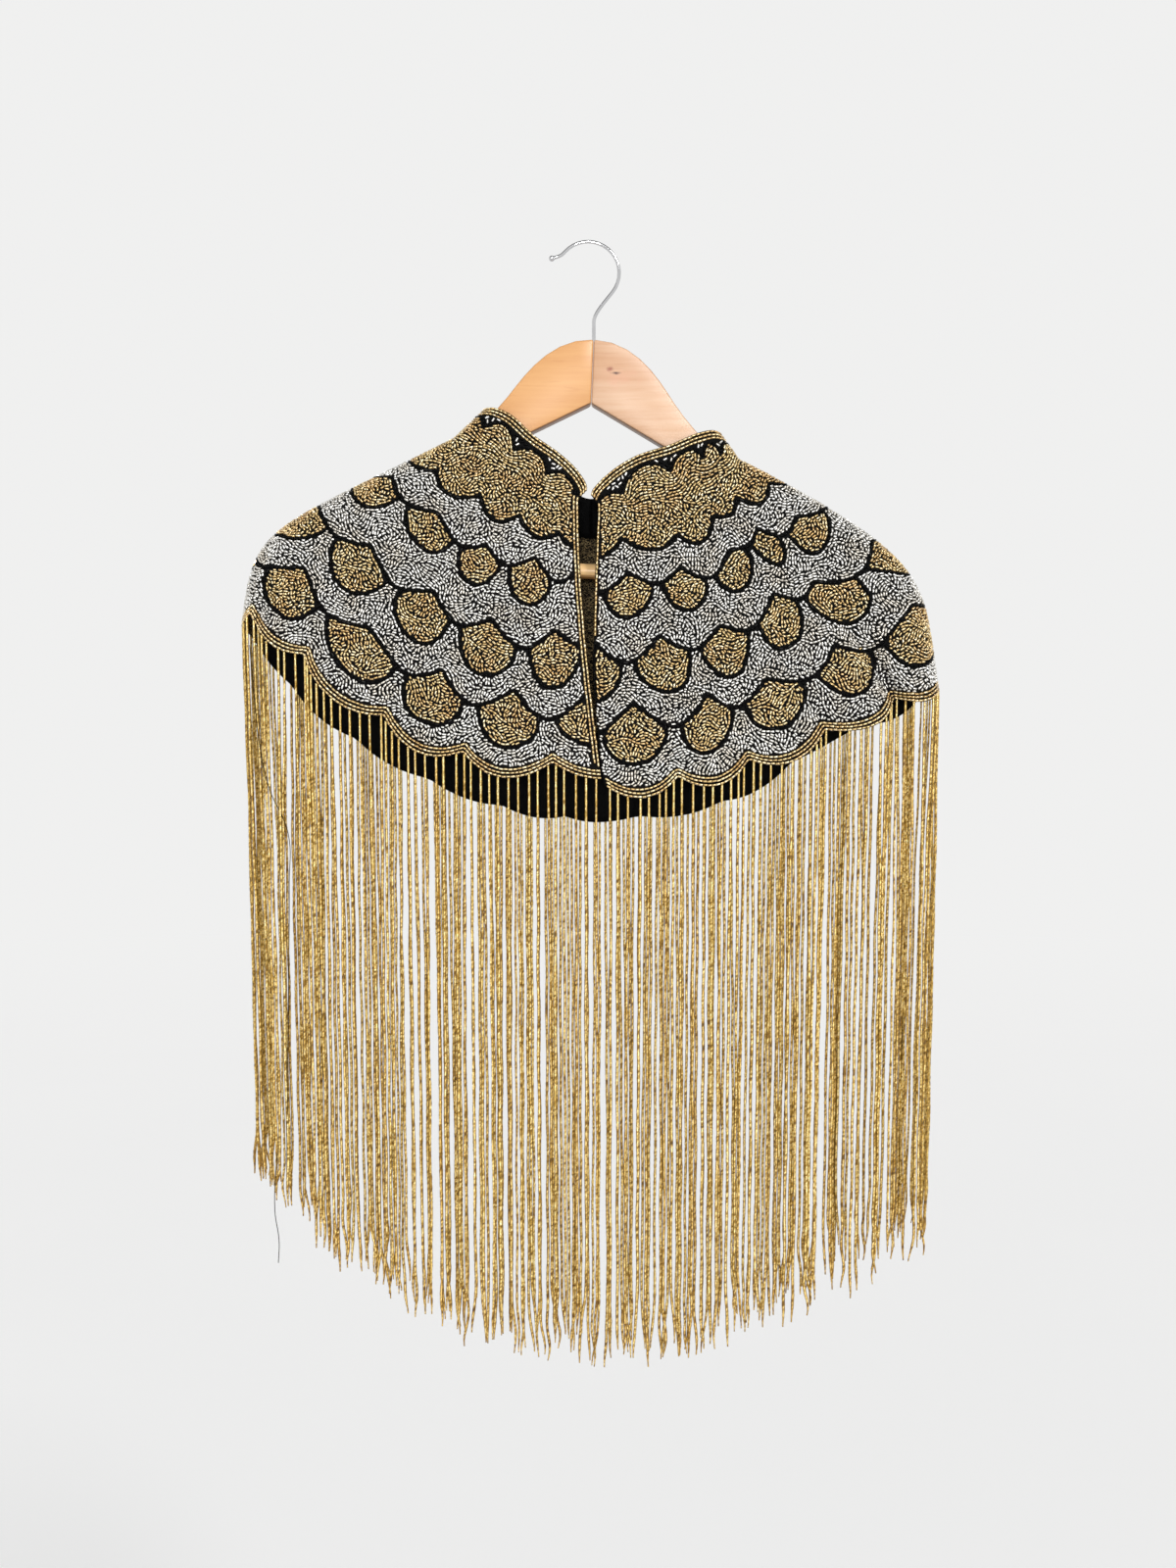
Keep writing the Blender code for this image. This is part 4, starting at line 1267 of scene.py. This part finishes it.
def panels_of(starts, last):
    """Each cut piece's columns and rows on the grid, in the order in which its beads are sorted."""
    middle, bottom = starts["right_back"], COLLAR_ROWS + BODY_ROWS
    return {
        "front_left": (0, starts["left_back"], COLLAR_ROWS, bottom),
        "back": (starts["left_back"], starts["right_front"], COLLAR_ROWS, bottom),
        "front_right": (starts["right_front"], last, COLLAR_ROWS, bottom),
        "collar_left": (0, middle, 0, COLLAR_ROWS),
        "collar_right": (middle, last, 0, COLLAR_ROWS),
    }


def panel_of(bead, panels):
    """The name of the cut piece that a bead lies on."""
    i, j = bead.place
    for name, (first, last, top, bottom) in panels.items():
        if first <= i <= last and top <= j <= bottom:
            return name
    return None


def make_cape(cloth, materials):
    """The cloth, its beads and the fringe, each riding on the one body."""
    panels = panels_of(cloth.starts, cloth.last)
    beads = {}
    for bead in Beading(cloth).beads:
        beads.setdefault((panel_of(bead, panels), bead.kind), []).append(bead)
    for name, (first, last, top, bottom) in panels.items():
        every_other = slice(first, last + 1, 2), slice(top, bottom + 1, 2)
        points, normals = cloth.points[every_other], cloth.normals[every_other]
        sides = (materials["ground"], materials["satin" if name.startswith("collar") else "inside"])
        shell = make_shell(name + "_cloth", points, normals, CLOTH_DEPTH, CLOTH_WALL, sides)
        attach(shell, "root")
        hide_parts(name)
        sewn_on = []
        for kind, word in ((SILVER, "silver"), (GOLD, "gold"), (BLACK, "black")):
            if (name, kind) in beads:
                share = BLACK_WIDTH if kind == BLACK else 1.0
                pieces_name = f"{name}_{word}_beads"
                piece = make_beads(pieces_name, beads[name, kind], materials[word], share)
                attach(piece, "root")
                sewn_on.append(piece)
        if not name.startswith("collar"):
            ends = (first, cloth.starts["right_back"], last) if name == "back" else (first, last)
            spacing = BACK_SPACING if name == "back" else FRONT_SPACING
            for number, (start, end) in enumerate(zip(ends, ends[1:]), 1):
                starts, facing = strand_starts(cloth, start, end, spacing)
                strands_name = f"fringe_{name}_strands_{number}"
                fringe = make_strands(strands_name, starts, facing, materials["strands"])
                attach(fringe, "root")
                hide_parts("fringe_" + name)
                sewn_on.append(fringe)
        if name == "front_left":
            sewn_on += make_threads(materials["thread"])


def make_threads(material):
    """Dark threads that have come loose from the edge and hang down in front of the strands."""
    threads = []
    for number, points in enumerate(THREADS, 1):
        thread = make_thread(f"loose_thread_{number}", points, THREAD_RADIUS, material)
        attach(thread, "root")
        threads.append(thread)
    return threads


def make_facing(cloth, material):
    """The satin band inside the back's hem."""
    first, last = cloth.starts["left_back"], cloth.starts["right_front"]
    columns = slice(first + FACING_LEAVES, last - FACING_LEAVES + 1, 2)
    rows = slice(-FACING_ROWS, None, 2)
    points = cloth.points[columns, rows].copy()
    bridged = BRIDGED * (SCALLOP_DROP - cloth.scallops[columns, None])
    points[:, -1] += unit(cloth.down[columns, -1]) * bridged
    points[:, -2] += unit(cloth.down[columns, -1]) * bridged / 2
    normals = cloth.normals[columns, rows]
    sunk = (FACING_DEPTH, FACING_WALL)
    piece = make_shell("back_hem_facing_satin", points, normals, *sunk, [material])
    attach(piece, "root")
    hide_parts("back_hem_facing")


# The hanger's finishes, the distance within which corners are joined and the rounding of the arms'
# edges, in metres, and the angles above which edges are rounded or stay sharp.
FINISHES = {
    "hanger_arm_left": "left_wood",
    "hanger_arm_right": "right_wood",
    "hanger_bar": "bar_wood",
    "hanger_hook": "steel",
}
JOINED, ROUNDED = 0.00002, 0.0010
ROUNDED_ABOVE, SHARP_ABOVE = math.radians(25), math.radians(40)


def dress_hanger(nodes, materials):
    """The CAD's own hanger, with its flat facets shaded as the round surfaces they stand for."""
    for name, finish in FINISHES.items():
        node = nodes[name]
        node.data.materials.clear()
        node.data.materials.append(materials[finish])
        node.data.shade_smooth()
        node.modifiers.new("joined_corners", "WELD").merge_threshold = JOINED
        if name.startswith("hanger_arm"):
            rounding = node.modifiers.new("rounded_edges", "BEVEL")
            rounding.width = ROUNDED
            rounding.segments = 3
            rounding.angle_limit = ROUNDED_ABOVE
            rounding.use_clamp_overlap = True
        node.modifiers.new("sharp_edges", "EDGE_SPLIT").split_angle = SHARP_ABOVE
    return [nodes[name] for name in ("hanger_arm_left", "hanger_arm_right")]


# ---- the studio

CAMERA_PLACE = (-0.0021, -1.100, -0.39)
CAMERA_LENS, SENSOR_WIDTH = 35.0, 36.0
Light = namedtuple("Light", "name place angle strength")
LIGHTS = (
    Light("key", (0.55, -1.0, 0.75), 16.0, 1.7),
    Light("front", (-0.03, -1.0, 0.03), 12.0, 1.3),
)
# The world's levels from the horizon up, and the floor in metres, which fades into the horizon.
PALE, WARM = 0.87, 0.995
SKY = ((0.50, PALE), (0.66, 0.42), (1.0, 0.30))
FLOOR_Z, FLOOR_HALF = -2.6, 60.0
FLOOR_SHADES = (0.985, 0.995)
FADES_FROM, FADES_TO = 3.0, 22.0


def make_studio():
    camera = linked("camera", bpy.data.cameras.new("camera"))
    camera.data.lens = CAMERA_LENS
    camera.data.sensor_width = SENSOR_WIDTH
    camera.location = CAMERA_PLACE
    camera.rotation_euler = (math.pi / 2, 0, 0)
    bpy.context.scene.camera = camera
    for light in LIGHTS:
        lit = linked(light.name, bpy.data.lights.new(light.name, "SUN"))
        lit.data.angle = math.radians(light.angle)
        lit.data.energy = light.strength
        lit.location = light.place
        lit.rotation_euler = (-Vector(light.place)).to_track_quat("-Z", "Y").to_euler()

    sky = Nodes(bpy.data.worlds.new("pale_studio"), "Background")
    upwards = sky.add("TexCoord").outputs["Generated"]
    height = sky.add("SeparateXYZ", {0: upwards}).outputs["Z"]
    stops = ((height, (level, level, WARM * level)) for height, level in SKY)
    sky.link(sky.ramp(height, *stops), "Color")
    bpy.context.scene.world = sky.owner
    bpy.context.scene.view_settings.view_transform = "Standard"

    floor = material_nodes("pale_floor")
    shade = floor.ramp(floor.noise(0.5), *zip((0.3, 0.7), FLOOR_SHADES))
    fade = {0: floor.length_of(floor.place()), 1: FADES_FROM, 2: FADES_TO}
    far = floor.add("MapRange", fade, interpolation_type="SMOOTHSTEP").outputs[0]
    floor.link(floor.mix(far, shade, (0.0, 0.0, 0.0)), "Base Color")
    floor.link(floor.mix(far, (0.0, 0.0, 0.0), (PALE, PALE, WARM * PALE)), "Emission Color")
    floor.set(Roughness=1.0, Specular_IOR_Level=0.0, Emission_Strength=1.0)
    sides = ((-1, -1), (1, -1), (1, 1), (-1, 1))
    corners = np.array([(x * FLOOR_HALF, y * FLOOR_HALF, FLOOR_Z) for x, y in sides])
    ground = make_mesh("floor", corners / MM, [np.arange(4)[None]], [floor.owner])


def main():
    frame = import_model()
    make_studio()
    materials = make_materials()
    hanger = dress_hanger(frame["nodes"], materials)
    cloth = Cloth()
    make_cape(cloth, materials)
    make_facing(cloth, materials["satin"])


main()
